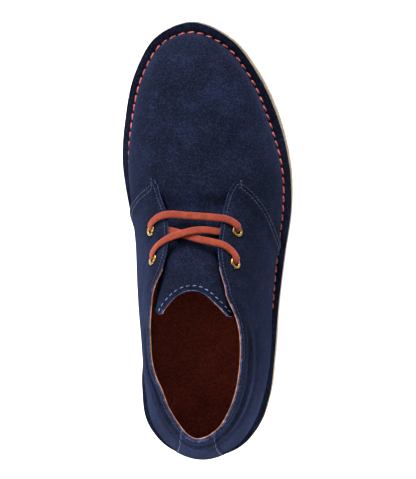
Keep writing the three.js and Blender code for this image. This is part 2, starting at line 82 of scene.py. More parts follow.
# The outsole's edge in plan, once round from the back of the heel by the outside.
# rim: in to the foot of the wall. swell: how far the wall stands out past its foot.
# square: how squarely the wall turns over into the top. trim: rim cut back inside the sole.
RIM_WIDTH, SWELL, SQUARE, TRIM = range(2, 6)  # its columns after x and y
EDGE = np.array([
    # x, y, rim, swell, square, trim
    (-2, -147.4, 2.3, 1.6, 2.2, 0.3),
    (24, -139.3, 4.4, 1.6, 1.95, 0.3),
    (37, -123.4, 5.4, 1.6, 1.7, 0.3),
    (43, -105.6, 5.4, 1.8, 1.72, 0.3),
    (46.5, -78, 5, 2.7, 1.85, 0.3),
    (49.1, -44, 5.4, 1.8, 1.9, 0.3),
    (53.2, -9, 6.6, 1.8, 2.1, 0.3),
    (57.5, 22, 7.2, 1.6, 2.25, 0.5),
    (57.4, 46, 7.4, 1.4, 2.3, 1.1),
    (50.4, 81, 9, 0.8, 2.5, 1.8),
    (36.4, 113, 8.4, 0.4, 3.1, 2.2),
    (17.4, 137.2, 8.6, 0.3, 3.8, 2.0),
    (-9.7, 148.6, 9, 0.3, 4.2, 1.6),  # toe tip
    (-34.4, 138.4, 7.6, 0.3, 3.8, 0.8),
    (-49.2, 113.6, 6.6, 0.3, 3.1, 0.3),
    (-56.2, 81, 6, 0.8, 2.5, 0.2),
    (-57.9, 54, 5.9, 1.8, 2.3, 0.2),
    (-53.6, 23.8, 5.2, 2.8, 2.5, 0.2),
    (-47.2, -4, 3.8, 4.3, 2.85, 0.2),
    (-42.8, -36, 3, 5.8, 4.2, 0.2),
    (-42.2, -68, 3.6, 4.2, 3.9, 0.2),
    (-43.8, -99.6, 5, 1.8, 1.85, 0.2),
    (-40, -123.6, 5.4, 1.4, 1.45, 0.2),
    (-27.6, -139.3, 4.4, 1.5, 1.55, 0.3),
])
AROUND = len(EDGE)
HEEL_U = 0.0
TOE_U = 12.0
OUTSIDE, INSIDE = 1, -1
QUARTER_OF = {OUTSIDE: "quarter_outside", INSIDE: "quarter_inside"}

# The last's top line: y, z, x.
RIDGE = np.array([
    (-150, 144, 1.2),
    (-95, 139, -0.4),
    (-70, 134, -2.4),
    (-52, 128, -3),
    (-36, 119, -3.6),
    (-20, 107, -4.2),
    (0, 92.5, -4.6),
    (20, 80.5, -5.2),
    (40, 71.5, -5.8),
    (60, 64.5, -6.2),
    (90, 57, -7),
    (118, 51, -8),
    (150, 45.5, -9),
])
FAN_TOE, FAN_HEEL, FAN_SOFTNESS = 50.0, -96.0, 12.0

# The facings' edges in plan: y, inside, outside.
THROAT = np.array([
    (-60, -33.5, 17),
    (-30, -31, 17.4),
    (-18, -25.8, 13.6),
    (-6, -22.4, 11.8),
    (6, -22.2, 12.7),
    (20, -24.4, 14.5),
    (30, -28.8, 17.0),
    (40, -30.4, 21.0),
])
THROAT_BACK = -60.0
# The collar's height: y, z.
COLLAR = np.array([
    (-140, 113.5),
    (-128, 112.5),
    (-108, 107.5),
    (-82, 103.5),
    (-58, 103),
    (-40, 107.5),
    (-20, 116),
])
COLLAR_ROUNDING = 4.0

# The front seams, from the foot to the tip: turn up the last, and y of the rib's foot.
SEAMS = {
    OUTSIDE: np.array([(0, -5), (0.15, -1), (0.33, 5.5), (0.64, 21.6), (0.87, 34), (0.98, 39), (1.1, 43.4)]),
    INSIDE: np.array([(0, 15.5), (0.2, 20), (0.4, 25.6), (0.66, 32), (0.94, 40), (1.04, 45.6)]),
}
# The tongue's sides in plan: y, inside, outside.
TONGUE = np.array([
    (-52, -31.5, 25),
    (-44, -28.6, 21.8),
    (-33, -24.4, 15.6),
    (-23, -21.6, 11.4),
    (-12, -19.2, 9),
    (0, -18.2, 8.8),
    (12, -19.2, 10.4),
    (22, -22, 14),
    (33, -32, 21),
])
TONGUE_ROOT = 33.0
TONGUE_FOOT = 34.6  # where the ribs that reach the tongue's root leave the sole
TONGUE_END = -31.4  # of its middle; its corners lie further back
TONGUE_CORNERS = {INSIDE: -48.5, OUTSIDE: -50.0}
# How far it sinks: at its root, again towards its end, and at least, square to the last.
TONGUE_SUNK, TONGUE_DROP, TONGUE_CLEAR = 3.6, 2.8, 4.2
# Past its sides the tongue turns down under the facings.
WING_SHARE, WING_WIDTH, WING_DEPTH = 0.16, 8.0, 12.0
WING_RISE = 5.0  # its end is cut back this far
WING_NARROWING = 0.25  # share of its width that a wing loses at the tongue's end

EYELETS = {
    "eyelet_outside_lower": (22.9, 5.7),
    "eyelet_outside_upper": (22.1, -15.2),
    "eyelet_inside_lower": (-32.6, 6.5),
    "eyelet_inside_upper": (-30.6, -12.9),
}


def cubic(k0, k1, k2, k3, v0, v1, v2, v3, at):
    """A cubic through four values at four knots, read between the middle two."""
    first = np.where(k1 > k0, k1 - k0, 1.0)
    span = k2 - k1
    last = np.where(k3 > k2, k3 - k2, 1.0)
    s01, s12, s23 = (v1 - v0) / first, (v2 - v1) / span, (v3 - v2) / last
    m1 = np.where(k1 > k0, (s01 * span + s12 * first) / (span + first), s12) * span
    m2 = np.where(k3 > k2, (s12 * last + s23 * span) / (last + span), s12) * span
    s = (at - k1) / span
    rise = v2 - v1
    return v1 + s * (m1 + s * (3 * rise - 2 * m1 - m2 + s * (m1 + m2 - 2 * rise)))


def along(table, at):
    """A table's other columns, read smoothly at values of its first."""
    at = np.clip(np.asarray(at, float), table[0, 0], table[-1, 0])
    top = len(table) - 1
    i = np.clip(np.searchsorted(table[:, 0], at, side="right") - 1, 0, top - 1)
    rows = [table[np.clip(i + j, 0, top)] for j in (-1, 0, 1, 2)]
    knots = [row[..., :1] for row in rows]
    values = [row[..., 1:] for row in rows]
    return cubic(*knots, *values, at[..., None])


EDGE_CHORDS = np.hypot(*(np.roll(EDGE[:, :2], -1, axis=0) - EDGE[:, :2]).T)


def edge_at(u):
    """The EDGE table's columns at u, which counts its rows round from the heel."""
    u = np.asarray(u, float)
    i = np.floor(u).astype(int)
    before, chord, after = (EDGE_CHORDS[(i + j) % AROUND][..., None] for j in (-1, 0, 1))
    rows = [EDGE[(i + j) % AROUND] for j in (-1, 0, 1, 2)]
    return cubic(-before, 0.0, chord, chord + after, *rows, (u - i)[..., None] * chord)


def tread_z(y):
    """The outsole's underside: flat under the ball, up to the heel block and at the toe."""
    spring = TOE_SPRING * (np.maximum(y - SPRING_START, 0) / (TOE_Y - SPRING_START)) ** 2
    t = np.clip((WAIST_FRONT - y) / (WAIST_FRONT - WAIST_BACK), 0, 1)
    return spring + HEEL_LIFT * t * t * (3 - 2 * t)


def foot_z(y):
    return tread_z(y) + RIM_UP + RIM


def outline(u, inset):
    """The outsole's edge in plan, moved in."""
    step = 1e-3
    tangent = edge_at(u + step)[..., :2] - edge_at(u - step)[..., :2]
    tangent /= np.linalg.norm(tangent, axis=-1, keepdims=True)
    inward = np.stack([-tangent[..., 1], tangent[..., 0]], -1)
    return edge_at(u)[..., :2] + inward * np.asarray(inset)[..., None]


def wall_foot(u):
    return outline(u, edge_at(u)[..., RIM_WIDTH])


HALVINGS = 36  # of an interval, to find where a rib lies
EDGE_HALVINGS = 30
LOWEST_EDGE = 0.2  # no edge of the upper turns lower than this


def u_at(side, y, curve=wall_foot):
    """Where one side of an outline reaches y."""
    y = np.asarray(y, float)
    heel_end = np.full(y.shape, HEEL_U if side == OUTSIDE else float(AROUND))
    toe_end = np.full(y.shape, TOE_U)
    for _ in range(HALVINGS):
        middle = (heel_end + toe_end) / 2
        below = curve(middle)[..., 1] < y
        heel_end = np.where(below, middle, heel_end)
        toe_end = np.where(below, toe_end, middle)
    return (heel_end + toe_end) / 2


def rib_root(foot):
    y = foot[..., 1]
    front = y - FAN_SOFTNESS * np.log1p(np.exp((y - FAN_TOE) / FAN_SOFTNESS))
    y = front + FAN_SOFTNESS * np.log1p(np.exp((FAN_HEEL - front) / FAN_SOFTNESS))
    return np.stack([along(RIDGE, y)[..., 1], y], -1)


def last_point(u, turn):
    """A point of the last. turn goes from 0 at the wall's foot to a quarter turn at the ridge."""
    u, turn = np.broadcast_arrays(np.asarray(u, float), np.asarray(turn, float))
    foot = wall_foot(u)
    root = rib_root(foot)
    row = edge_at(u)
    square = row[..., SQUARE]
    reach = np.maximum(np.cos(turn), 0) ** (2 / square)
    climb = np.maximum(np.sin(turn), 0) ** (2 / (2 + CROWNING * (square - 2)))
    plan = root + (foot - root) * reach[..., None]
    base = foot_z(foot[..., 1])
    z = base + (along(RIDGE, plan[..., 1])[..., 0] - base) * climb
    h = (z - base) / SWELL_HEIGHT
    out = outline(u, 0.0) - foot
    out /= np.linalg.norm(out, axis=-1, keepdims=True)
    plan = plan + out * (row[..., SWELL] * h * np.exp(1 - h))[..., None]
    return np.concatenate([plan, z[..., None]], -1)


def rib_place(u, turn):
    """Where a rib lies in plan before the wall's swell moves it out."""
    foot = wall_foot(u)
    root = rib_root(foot)
    reach = np.maximum(np.cos(turn), 0) ** (2 / edge_at(u)[..., SQUARE])
    return root + (foot - root) * reach[..., None]


def last_normal(u, turn):
    e = 1e-3
    low = np.maximum(turn - e, 0)
    across = last_point(u + e, turn) - last_point(u - e, turn)
    normal = np.cross(across, last_point(u, turn + e) - last_point(u, low))
    return normal / np.linalg.norm(normal, axis=-1, keepdims=True)


def rib_over(x, y):
    """The rib that passes over a place near the top of the last, and its turn there."""
    place = np.stack(np.broadcast_arrays(np.asarray(x, float), np.asarray(y, float)), -1)
    toe = wall_foot(np.array(TOE_U))
    fan = rib_root(toe)
    ahead, from_fan = toe - fan, place - fan
    right_of_toe = ahead[0] * from_fan[..., 1] < ahead[1] * from_fan[..., 0]
    right_of_ridge = place[..., 0] > along(RIDGE, place[..., 1])[..., 1]
    outside = np.where(place[..., 1] > fan[1], right_of_toe, right_of_ridge)
    side = np.where(outside, 1.0, -1.0)
    heel_end = np.where(outside, HEEL_U, float(AROUND))
    toe_end = np.full(side.shape, TOE_U)
    for _ in range(HALVINGS):
        middle = (heel_end + toe_end) / 2
        foot = wall_foot(middle)
        root = rib_root(foot)
        rib, there = foot - root, place - root
        ahead = (rib[..., 0] * there[..., 1] - rib[..., 1] * there[..., 0]) * side > 0
        heel_end = np.where(ahead, middle, heel_end)
        toe_end = np.where(ahead, toe_end, middle)
    u = (heel_end + toe_end) / 2
    foot = wall_foot(u)
    root = rib_root(foot)
    reach = np.linalg.norm(place - root, axis=-1) / np.linalg.norm(foot - root, axis=-1)
    return u, np.arccos(np.clip(reach, 0.0, 1.0) ** (edge_at(u)[..., SQUARE] / 2))


def top_point(x, y):
    u, turn = rib_over(x, y)
    return last_point(u, turn)


def over(x, y, lift=0.0):
    """A point over a place near the top of the last, this high above it."""
    return top_point(x, y) + top_normal(x, y) * np.asarray(lift)[..., None]


def top_normal(x, y):
    x, y = np.asarray(x, float), np.asarray(y, float)
    e = 0.5
    across = top_point(x + e, y) - top_point(x - e, y)
    normal = np.cross(across, top_point(x, y + e) - top_point(x, y - e))
    return normal / np.linalg.norm(normal, axis=-1, keepdims=True)


def edge_turn(u):
    """The turn at which each rib meets the edge of the throat or the collar."""
    below = np.full(np.shape(u), LOWEST_EDGE)
    beyond = np.full(np.shape(u), math.pi / 2)
    for _ in range(EDGE_HALVINGS):
        middle = (below + beyond) / 2
        p = last_point(u, middle)
        above = p[..., 2] - along(COLLAR, p[..., 1])[..., 0]
        sides = along(THROAT, p[..., 1])
        between = np.minimum(p[..., 0] - sides[..., 0], sides[..., 1] - p[..., 0])
        between = np.minimum(between, p[..., 1] - THROAT_BACK)
        r = COLLAR_ROUNDING
        mix = np.maximum(r - np.abs(above - between), 0) / r
        leather = np.maximum(above, between) + mix * mix * r / 4 < 0
        below = np.where(leather, middle, below)
        beyond = np.where(leather, beyond, middle)
    return below


def to_row_frame():
    """The step from the last's own origin to the frame's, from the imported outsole."""
    low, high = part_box("outsole")
    plan = outline(np.linspace(0, AROUND, 2000), 0.0)
    x = (low[0] + high[0]) / 2 / MM - (plan[:, 0].min() + plan[:, 0].max()) / 2
    y = high[1] / MM - plan[:, 1].max()
    return np.array([x, y, 0.0])


SHIFT = to_row_frame()


# ---------------------------------------------------------------------------------------
# Meshes
# ---------------------------------------------------------------------------------------
def smoothstep(t):
    t = np.clip(t, 0, 1)
    return t * t * (3 - 2 * t)


def grid_faces(rows, columns, start=0, closed=False):
    """Quads of a grid whose rows climb and whose columns go round anticlockwise from above."""
    faces = []
    for r in range(rows - 1):
        for c in range(columns if closed else columns - 1):
            a, b = start + r * columns + c, start + r * columns + (c + 1) % columns
            faces.append((a, b, b + columns, a + columns))
    return faces


def point_normals(points, faces):
    quads = np.array([face if len(face) == 4 else (*face, face[-1]) for face in faces])
    a, b, c, d = (points[quads[:, i]] for i in range(4))
    normals = np.zeros_like(points)
    cross = np.cross(c - a, d - b)
    for i in range(4):
        np.add.at(normals, quads[:, i], cross)
    length = np.linalg.norm(normals, axis=1, keepdims=True)
    return normals / np.maximum(length, 1e-12)


def border_edges(faces):
    """The edges that only one face uses, in that face's direction."""
    seen = {}
    for face in faces:
        for a, b in zip(face, face[1:] + face[:1]):
            if a != b:
                seen[(a, b)] = True
    return [edge for edge in seen if (edge[1], edge[0]) not in seen]


def thicken(points, faces, outer, inner):
    """A closed sheet whose two faces lie at these heights over a surface.

    Returns points, faces and each face's part: 0 outer, 1 inner, 2 cut edge.
    """
    normals = point_normals(points, faces)
    count = len(points)
    both = np.concatenate([points + normals * outer[:, None], points + normals * inner[:, None]])
    inner_faces = [tuple(i + count for i in reversed(face)) for face in faces]
    edges = [(b, a, a + count, b + count) for a, b in border_edges(faces)]
    parts = [0] * len(faces) + [1] * len(inner_faces) + [2] * len(edges)
    return both, list(faces) + inner_faces + edges, parts


def without_repeats(face):
    return tuple(i for n, i in enumerate(face) if i != face[n - 1])


SHARP = 40.0  # a fold sharper than this, in degrees, is shaded as an edge
ROUND_WORK, ALL_ROUND = 80.0, 180.0
SAME_PLACE = 1e-7  # in metres


def make_piece(name, points, faces, materials, parts=None, replaces=(), sharp=SHARP):
    """A mesh object from points in millimetres, riding on the boot."""
    mesh = bpy.data.meshes.new(name)
    placed = (np.asarray(points) + SHIFT) * MM
    tidy = [without_repeats(face) for face in faces]
    kept = [i for i, face in enumerate(tidy) if len(face) > 2]
    mesh.from_pydata(placed.tolist(), [], [tidy[i] for i in kept])
    for material in materials:
        mesh.materials.append(material)
    if parts is not None:
        mesh.polygons.foreach_set("material_index", [parts[i] for i in kept])
    return finish_piece(name, mesh, replaces, sharp)


def finish_piece(name, mesh, replaces=(), sharp=SHARP):
    mesh.validate()
    bm = bmesh.new()
    bm.from_mesh(mesh)
    bmesh.ops.remove_doubles(bm, verts=bm.verts, dist=SAME_PLACE)
    bmesh.ops.dissolve_degenerate(bm, edges=bm.edges, dist=SAME_PLACE)
    bm.to_mesh(mesh)
    bm.free()
    mesh.polygons.foreach_set("use_smooth", [True] * len(mesh.polygons))
    mesh.set_sharp_from_angle(angle=math.radians(sharp))
    piece = bpy.data.objects.new(name, mesh)
    bpy.context.scene.collection.objects.link(piece)
    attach(piece, "root")
    if replaces:
        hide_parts(*replaces)
    return piece


def distances(points, curve):
    """Each point's distance to a curve given by close points."""
    tree = KDTree(len(curve))
    for i, place in enumerate(curve):
        tree.insert(place, i)
    tree.balance()
    return np.array([tree.find(p)[2] for p in points])


def noise_at(points, size, seed=0.0):
    """Soft noise between about -1 and 1 over patches of a size in millimetres."""
    offset = Vector((seed, -seed, seed * 0.5))
    return np.array([noise.noise(Vector(p) / size + offset) for p in points])


def steps_from(edge_steps, length, step):
    """Shares of a length: these first distances from its start, then even steps."""
    fine = [d / length for d in edge_steps]
    rest = max(int(round((length - edge_steps[-1]) / step)), 2)
    return np.concatenate([fine, np.linspace(fine[-1], 1, rest + 1)[1:]])


# ---------------------------------------------------------------------------------------
# Sheets of leather on the last
# ---------------------------------------------------------------------------------------
FILLET = 1.4  # radius where the wall turns out into the rim
END_PULL = 3  # how soon a panel forgets the bends of its ends


def coons(bottom, top, back, front, a, b):
    """Fills four borders in (u, turn); the bends of its two ends stay near them."""
    a_, b_ = a[..., None], b[..., None]
    place = (1 - b_) * bottom(a) + b_ * top(a)
    for border, weight in ((back, (1 - a_) ** END_PULL), (front, a_ ** END_PULL)):
        straight = (1 - b_) * border(np.zeros_like(b)) + b_ * border(np.ones_like(b))
        place = place + weight * (border(b) - straight)
    return place


def wall_grid(bottom, top, back, front, a_shares, b_shares, rim=True):
    """Points of a wall panel, rows upwards, with its turned-out rim below if asked for."""
    a = np.broadcast_to(a_shares, (len(b_shares), len(a_shares)))
    low = bottom(a_shares)
    ridge_z = along(RIDGE, rib_root(wall_foot(low[:, 0]))[:, 1])[:, 0]
    height = ridge_z - foot_z(wall_foot(low[:, 0])[:, 1])
    power = 1 + CROWNING / 2 * (edge_at(low[:, 0])[:, SQUARE] - 2)
    start = np.arcsin((FILLET / height) ** power) / np.maximum(top(a_shares)[:, 1], 0.1)
    if not rim:
        start = start * 0
    b = start + (1 - start) * np.asarray(b_shares)[:, None]
    place = coons(bottom, top, back, front, a, b)
    wall = last_point(place[..., 0], np.maximum(place[..., 1], 0))
    if not rim:
        return wall
    u = low[:, 0]
    row = edge_at(u)

    def flat(inset):
        plan = outline(u, inset)
        return np.concatenate([plan, foot_z(plan[:, 1])[:, None]], -1)

    trim, width = row[:, TRIM], row[:, RIM_WIDTH]
    reach = np.minimum(FILLET, width - trim - 0.2)
    flats = [flat(trim + share * (width - reach - trim)) for share in (0, 0.08, 0.2, 0.45, 0.7, 1)]
    corner, rise = flat(width), wall[0]
    curve = []
    for t in (0.2, 0.4, 0.6, 0.8):
        curve.append((1 - t) ** 2 * flats[-1] + 2 * t * (1 - t) * corner + t * t * rise)
    return np.concatenate([np.array(flats), np.array(curve), wall])


def seam_place(side, b, behind=0.0):
    """The front seam in (u, turn); b is 0 at the foot and 1 at the tip."""
    table = SEAMS[side]
    turn = table[-1, 0] * b
    y = along(table, turn)[..., 0] - behind
    return np.stack([u_at(side, y), turn], -1)


def plan_of(place):
    return last_point(place[..., 0], place[..., 1])


def run_of(points):
    """The distance run along a line at each of its points."""
    return np.concatenate([[0], np.cumsum(np.linalg.norm(np.diff(points, axis=0), axis=1))])


def by_length(curve, count=400):
    """Turns a curve in (u, turn) into a function of the share of its length."""
    t = np.linspace(0, 1, count)
    place = curve(t)
    run = run_of(plan_of(place))
    share = run / run[-1]

    def at(s):
        return np.stack([np.interp(s, share, place[:, i]) for i in (0, 1)], -1)

    at.length = run[-1]
    return at


TIP_ROUNDING = {OUTSIDE: 6.0, INSIDE: 6.2}  # of a quarter's tip, along its two edges
LINING_ROUNDING = 3.0


def quarter_borders(side, behind=0.0):
    """A quarter's borders: its foot, its top from the heel to the tip, and its two ends."""
    foot_u = float(u_at(side, SEAMS[side][0, 1] - behind))
    tip_u = float(u_at(side, SEAMS[side][-1, 1] - behind))
    heel_u = HEEL_U if side == OUTSIDE else float(AROUND)
    tip_turn = float(edge_turn(np.array([tip_u]))[0])
    scale = tip_turn / SEAMS[side][-1, 0]
    rounding = LINING_ROUNDING if behind else TIP_ROUNDING[side]

    def raw_seam(t):
        place = seam_place(side, t, behind)
        return np.stack([place[..., 0], place[..., 1] * scale], -1)

    def raw_top(t):
        u = heel_u + (tip_u - heel_u) * t
        return np.stack([u, edge_turn(u)], -1)

    seam, top = by_length(raw_seam), by_length(raw_top)
    on_seam = plan_of(seam(np.array([1 - rounding / seam.length])))[0, :2]
    on_top = plan_of(top(np.array([1 - rounding / top.length])))[0, :2]
    tip = plan_of(top(np.array([1.0])))[0, :2]

    def rounded(t):
        """The tip's round, from the seam at 0 to the top edge at 1, in (u, turn)."""
        t = np.asarray(t)[..., None]
        plan = (1 - t) ** 2 * on_seam + 2 * t * (1 - t) * tip + t * t * on_top
        return np.stack(rib_over(plan[..., 0], plan[..., 1]), -1)

    def ending(curve, near):
        def at(t):
            t = np.asarray(t, float)
            start = 1 - rounding / curve.length
            late = np.clip((t - start) / (1 - start), 0, 1)
            turned = rounded(late / 2 if near == 0 else 1 - late / 2)
            return np.where((t > start)[..., None], turned, curve(t))
        return by_length(at)

    seam, top = ending(seam, 0), ending(top, 1)

    def foot(t):
        u = heel_u + (foot_u - heel_u) * np.asarray(t)
        return np.stack([u, np.zeros_like(u)], -1)

    def back(t):
        t = np.asarray(t, float)
        return np.stack([np.full_like(t, heel_u), t * top(np.zeros(1))[0, 1]], -1)

    return by_length(foot), top, back, seam


def in_order(side, grid):
    """Columns run from the heel to the tip; the inside ones are turned round to face out."""
    return grid if side == OUTSIDE else grid[:, ::-1]


SUEDE = 1.4  # thickness of the suede
LINING = 0.6
EDGE_STEPS = (0, 0.22, 0.5, 0.9, 1.5)  # the mesh's first steps in from a cut edge
SHAFT = 92.0  # height of a quarter, up the leather
GRAIN_STEP = 1.1  # the mesh's usual step


def rounded_edge(distance, radius=0.55):
    """How far a cut edge's rounding lowers the face at a distance from it."""
    t = np.clip(1 - distance / radius, 0, 1)
    return radius * (1 - np.sqrt(1 - 0.96 * t * t))


# Soft troughs and ridges below the collar: height, how far below it, width.
FOLDS = ((-1.1, 10.5, 2.2), (0.6, 15.5, 3.0), (-0.9, 24.0, 4.5))
FOLD_STRENGTH = {OUTSIDE: 1.0, INSIDE: 1.3}
FOLDS_START, FOLDS_GROW = -48.0, 26.0  # along the boot, towards the heel


def collar_folds(side, points, from_collar):
    """How the suede folds where it eases in below the back half of the collar."""
    y = points[:, 1]
    rear = smoothstep((FOLDS_START - y) / FOLDS_GROW)
    wander = 1 + 0.25 * np.sin(y / 17 + side)
    folds = sum(height * np.exp(-(((from_collar - below * wander) / width) ** 2))
                for height, below, width in FOLDS)
    return FOLD_STRENGTH[side] * rear * folds


def waviness(points, seed):
    """Leather pulled over a last is never quite even."""
    return 0.28 * noise_at(points, 34.0, seed) + 0.12 * noise_at(points, 13.0, seed + 7)


def stitch_trough(distance, inset, depth=0.28, width=0.8):
    return -depth * np.exp(-(((distance - inset) / width) ** 2))


def sole_row(count=900):
    """The line of the sole's stitches on the last's rim, from waist to waist."""
    u = np.linspace(*(float(u_at(side, SOLE_ROW_END)) for side in (OUTSIDE, INSIDE)), count)
    row = edge_at(u)
    clear = np.minimum(SOLE_ROW_INSET + 0.3 * row[:, SWELL], row[:, RIM_WIDTH] - 1.5)
    plan = outline(u, row[:, RIM_WIDTH] - clear)
    return np.concatenate([plan, foot_z(plan[:, 1])[:, None]], -1)


GROOVE_DEPTH, GROOVE_WIDTH = 0.75, 0.95


def sole_groove(points):
    """The groove that the sole's stitches pull into the rim."""
    return -GROOVE_DEPTH * np.exp(-((distances(points, sole_row()) / GROOVE_WIDTH) ** 2))


LAP_RISE = SUEDE + 0.5  # of the quarter, where it lies on the vamp
ROW_INSET = 2.3
SECOND_ROW = 5.1
STRIP_INSET = 1.7
SOLE_ROW_INSET = 0.8  # out from the foot of the wall
SOLE_ROW_END = -45.0
LINING_SETBACK = 9.0
OVERLAP_FADE = 13.0  # behind the front seam the quarter comes down to the last
BARE_EDGE_END = -18.0  # ahead of this the lining's cut edge is set back and given the dark lining finish, not the pale cut edge's
LINING_BACK, TOP_ROWS = 0.2, 12  # share of its last few millimetres, and their rows


# ---------------------------------------------------------------------------------------
# Materials
# ---------------------------------------------------------------------------------------
def srgb(value):
    """Linear colour, with alpha, from an sRGB hex string."""
    channels = [int(value[i:i + 2], 16) / 255 for i in (1, 3, 5)]
    linear = [c / 12.92 if c <= 0.04045 else ((c + 0.055) / 1.055) ** 2.4 for c in channels]
    return (*linear, 1.0)


def add(tree, kind, links=None, **settings):
    """Adds a node with its settings; links maps an input to a value or to an output."""
    node = tree.nodes.new(kind)
    for name, value in settings.items():
        setattr(node, name, value)
    for name, source in (links or {}).items():
        socket = node.inputs[name]
        if isinstance(source, bpy.types.NodeSocket):
            tree.links.new(source, socket)
        else:
            socket.default_value = source
    return node


def ramp(tree, source, stops):
    """A colour ramp from (position, colour) pairs."""
    node = add(tree, "ShaderNodeValToRGB", {"Fac": source})
    elements = node.color_ramp.elements
    while len(elements) < len(stops):
        elements.new(0.5)
    for element, (position, colour) in zip(elements, stops):
        element.position = position
        element.color = colour if len(colour) == 4 else (*colour, 1.0)
    return node.outputs["Color"]


def stops(colour_name, *shades):
    """Ramp stops of one of the user's colours: (position, share of its red, green and blue)."""
    colour = getattr(bpy.context.scene.boot_colours, colour_name)
    return [(position, tuple(c * share for c, share in zip(colour, shares)))
            for position, shares in shades]


def blank_material(name):
    material = bpy.data.materials.new(name)
    material.use_nodes = True
    material.node_tree.nodes.clear()
    return material, material.node_tree


def surface(tree, links):
    shader = add(tree, "ShaderNodeBsdfPrincipled", links)
    output = add(tree, "ShaderNodeOutputMaterial")
    tree.links.new(shader.outputs["BSDF"], output.inputs["Surface"])
    return shader


def noise_node(tree, place, size_mm, detail=3.0, roughness=0.55, distortion=0.0):
    return add(tree, "ShaderNodeTexNoise", {
        "Vector": place,
        "Scale": 1 / (size_mm * MM),
        "Detail": detail,
        "Roughness": roughness,
        "Distortion": distortion,
    }).outputs["Fac"]


def mix_colour(tree, factor, a, b, blend="MIX"):
    node = add(tree, "ShaderNodeMix", data_type="RGBA", blend_type=blend)
    for index, source in ((0, factor), (6, a), (7, b)):
        socket = node.inputs[index]
        if isinstance(source, bpy.types.NodeSocket):
            tree.links.new(source, socket)
        else:
            socket.default_value = source
    return node.outputs[2]


def bump(tree, layers):
    """Stacks bumps: (height output, depth in millimetres)."""
    normal = None
    for height, depth in layers:
        links = {"Height": height, "Distance": depth * MM, "Strength": 1.0}
        if normal is not None:
            links["Normal"] = normal
        normal = add(tree, "ShaderNodeBump", links).outputs["Normal"]
    return normal


def object_place(tree):
    return add(tree, "ShaderNodeTexCoord").outputs["Object"]


PLAIN = (1, 1, 1)


def suede_material(name, colour_name, darker, lighter, patch_mm=22.0):
    """Buffed split leather: a short nap brushed every way, so it is matt, mottled and sheeny."""
    material, tree = blank_material(name)
    place = object_place(tree)
    patches = noise_node(tree, place, patch_mm, 2.5, 0.5, 0.4)
    strokes = noise_node(tree, place, patch_mm / 4, 3.0, 0.55, 0.6)
    # The nap's fibres are a tenth of a millimetre apart: nap and fibre are drawn coarse enough to show.
    nap = noise_node(tree, place, 1.3, 2.0, 0.75)
    fibre = noise_node(tree, place, 0.42, 2.0, 0.6)
    broad = add(tree, "ShaderNodeMath", {0: patches, 1: 1.7}, operation="MULTIPLY")
    broad = add(tree, "ShaderNodeMath", {0: broad.outputs[0], 1: strokes}, operation="ADD")
    broad = add(tree, "ShaderNodeMath", {0: broad.outputs[0], 1: 1 / 2.7}, operation="MULTIPLY")
    colour = ramp(tree, broad.outputs[0],
                  stops(colour_name, (0.37, darker), (0.5, PLAIN), (0.64, lighter)))
    speckle = ramp(tree, nap, [(0.3, (0.4, 0.4, 0.42)), (0.5, (0.95, 0.95, 0.95)), (0.7, (2.1, 2.1, 2.05))])
    colour = mix_colour(tree, 0.85, colour, speckle, "MULTIPLY")
    normal = bump(tree, [(strokes, 0.12), (nap, 0.3), (fibre, 0.14)])
    surface(tree, {
        "Base Color": colour,
        "Roughness": 0.95,
        "Specular IOR Level": 0.0,
        "Sheen Weight": 0.055,
        "Sheen Roughness": 0.4,
        "Sheen Tint": srgb("#7d90cc"),
        "Normal": normal,
    })
    return material


def cut_edge_material():
    """The cut edge of vegetable-tanned lining leather: bare, pale and fibrous."""
    material, tree = blank_material("cut edge of tanned lining leather")
    place = object_place(tree)
    tone = noise_node(tree, place, 5.0, 3.0, 0.6)
    colour = ramp(tree, tone, stops(
        "lining_edge", (0.3, (0.378, 0.32, 0.338)), (0.5, PLAIN), (0.7, (1.649, 2.328, 2.336))))
    fibre = noise_node(tree, place, 0.5, 2.0)
    surface(tree, {"Base Color": colour, "Roughness": 0.8, "Normal": bump(tree, [(fibre, 0.08)])})
    return material


def lining_material():
    """Aniline-dyed lining leather: smooth, dark, with a soft low sheen and fine pores."""
    material, tree = blank_material("dyed lining leather")
    place = object_place(tree)
    tone = noise_node(tree, place, 22.0, 3.0, 0.6)
    colour = ramp(tree, tone, stops("lining", (0.3, (0.482, 0.667, 1.0)), (0.7, PLAIN)))
    # Pores are a third of a millimetre apart: these are drawn coarse enough to show.
    pores = add(tree, "ShaderNodeTexVoronoi", {"Vector": place, "Scale": 1 / (1.1 * MM)})
    surface(tree, {
        "Base Color": colour,
        "Roughness": 0.75,
        "Specular IOR Level": 0.03,
        "Normal": bump(tree, [(pores.outputs["Distance"], 0.05)]),
    })
    return material


def insole_material():
    """Brushed pigskin on the insole: matt, dark brown, with a fine felted grain."""
    material, tree = blank_material("brushed pigskin insole")
    place = object_place(tree)
    tone = noise_node(tree, place, 26.0, 3.0, 0.6)
    # The felted grain is finer than this and is drawn coarse enough to show.
    grain = noise_node(tree, place, 1.4, 3.0, 0.65)
    colour = ramp(tree, tone, stops("insole", (0.3, (0.59, 0.553, 0.551)), (0.7, PLAIN)))
    speckle = ramp(tree, grain, [(0.3, (0.32, 0.3, 0.3)), (0.7, (1.75, 1.75, 1.7))])
    colour = mix_colour(tree, 0.85, colour, speckle, "MULTIPLY")
    surface(tree, {
        "Base Color": colour,
        "Roughness": 0.85,
        "Specular IOR Level": 0.25,
        "Sheen Weight": 0.15,
        "Sheen Tint": srgb("#7a4030"),
        "Normal": bump(tree, [(grain, 0.22)]),
    })
    return material


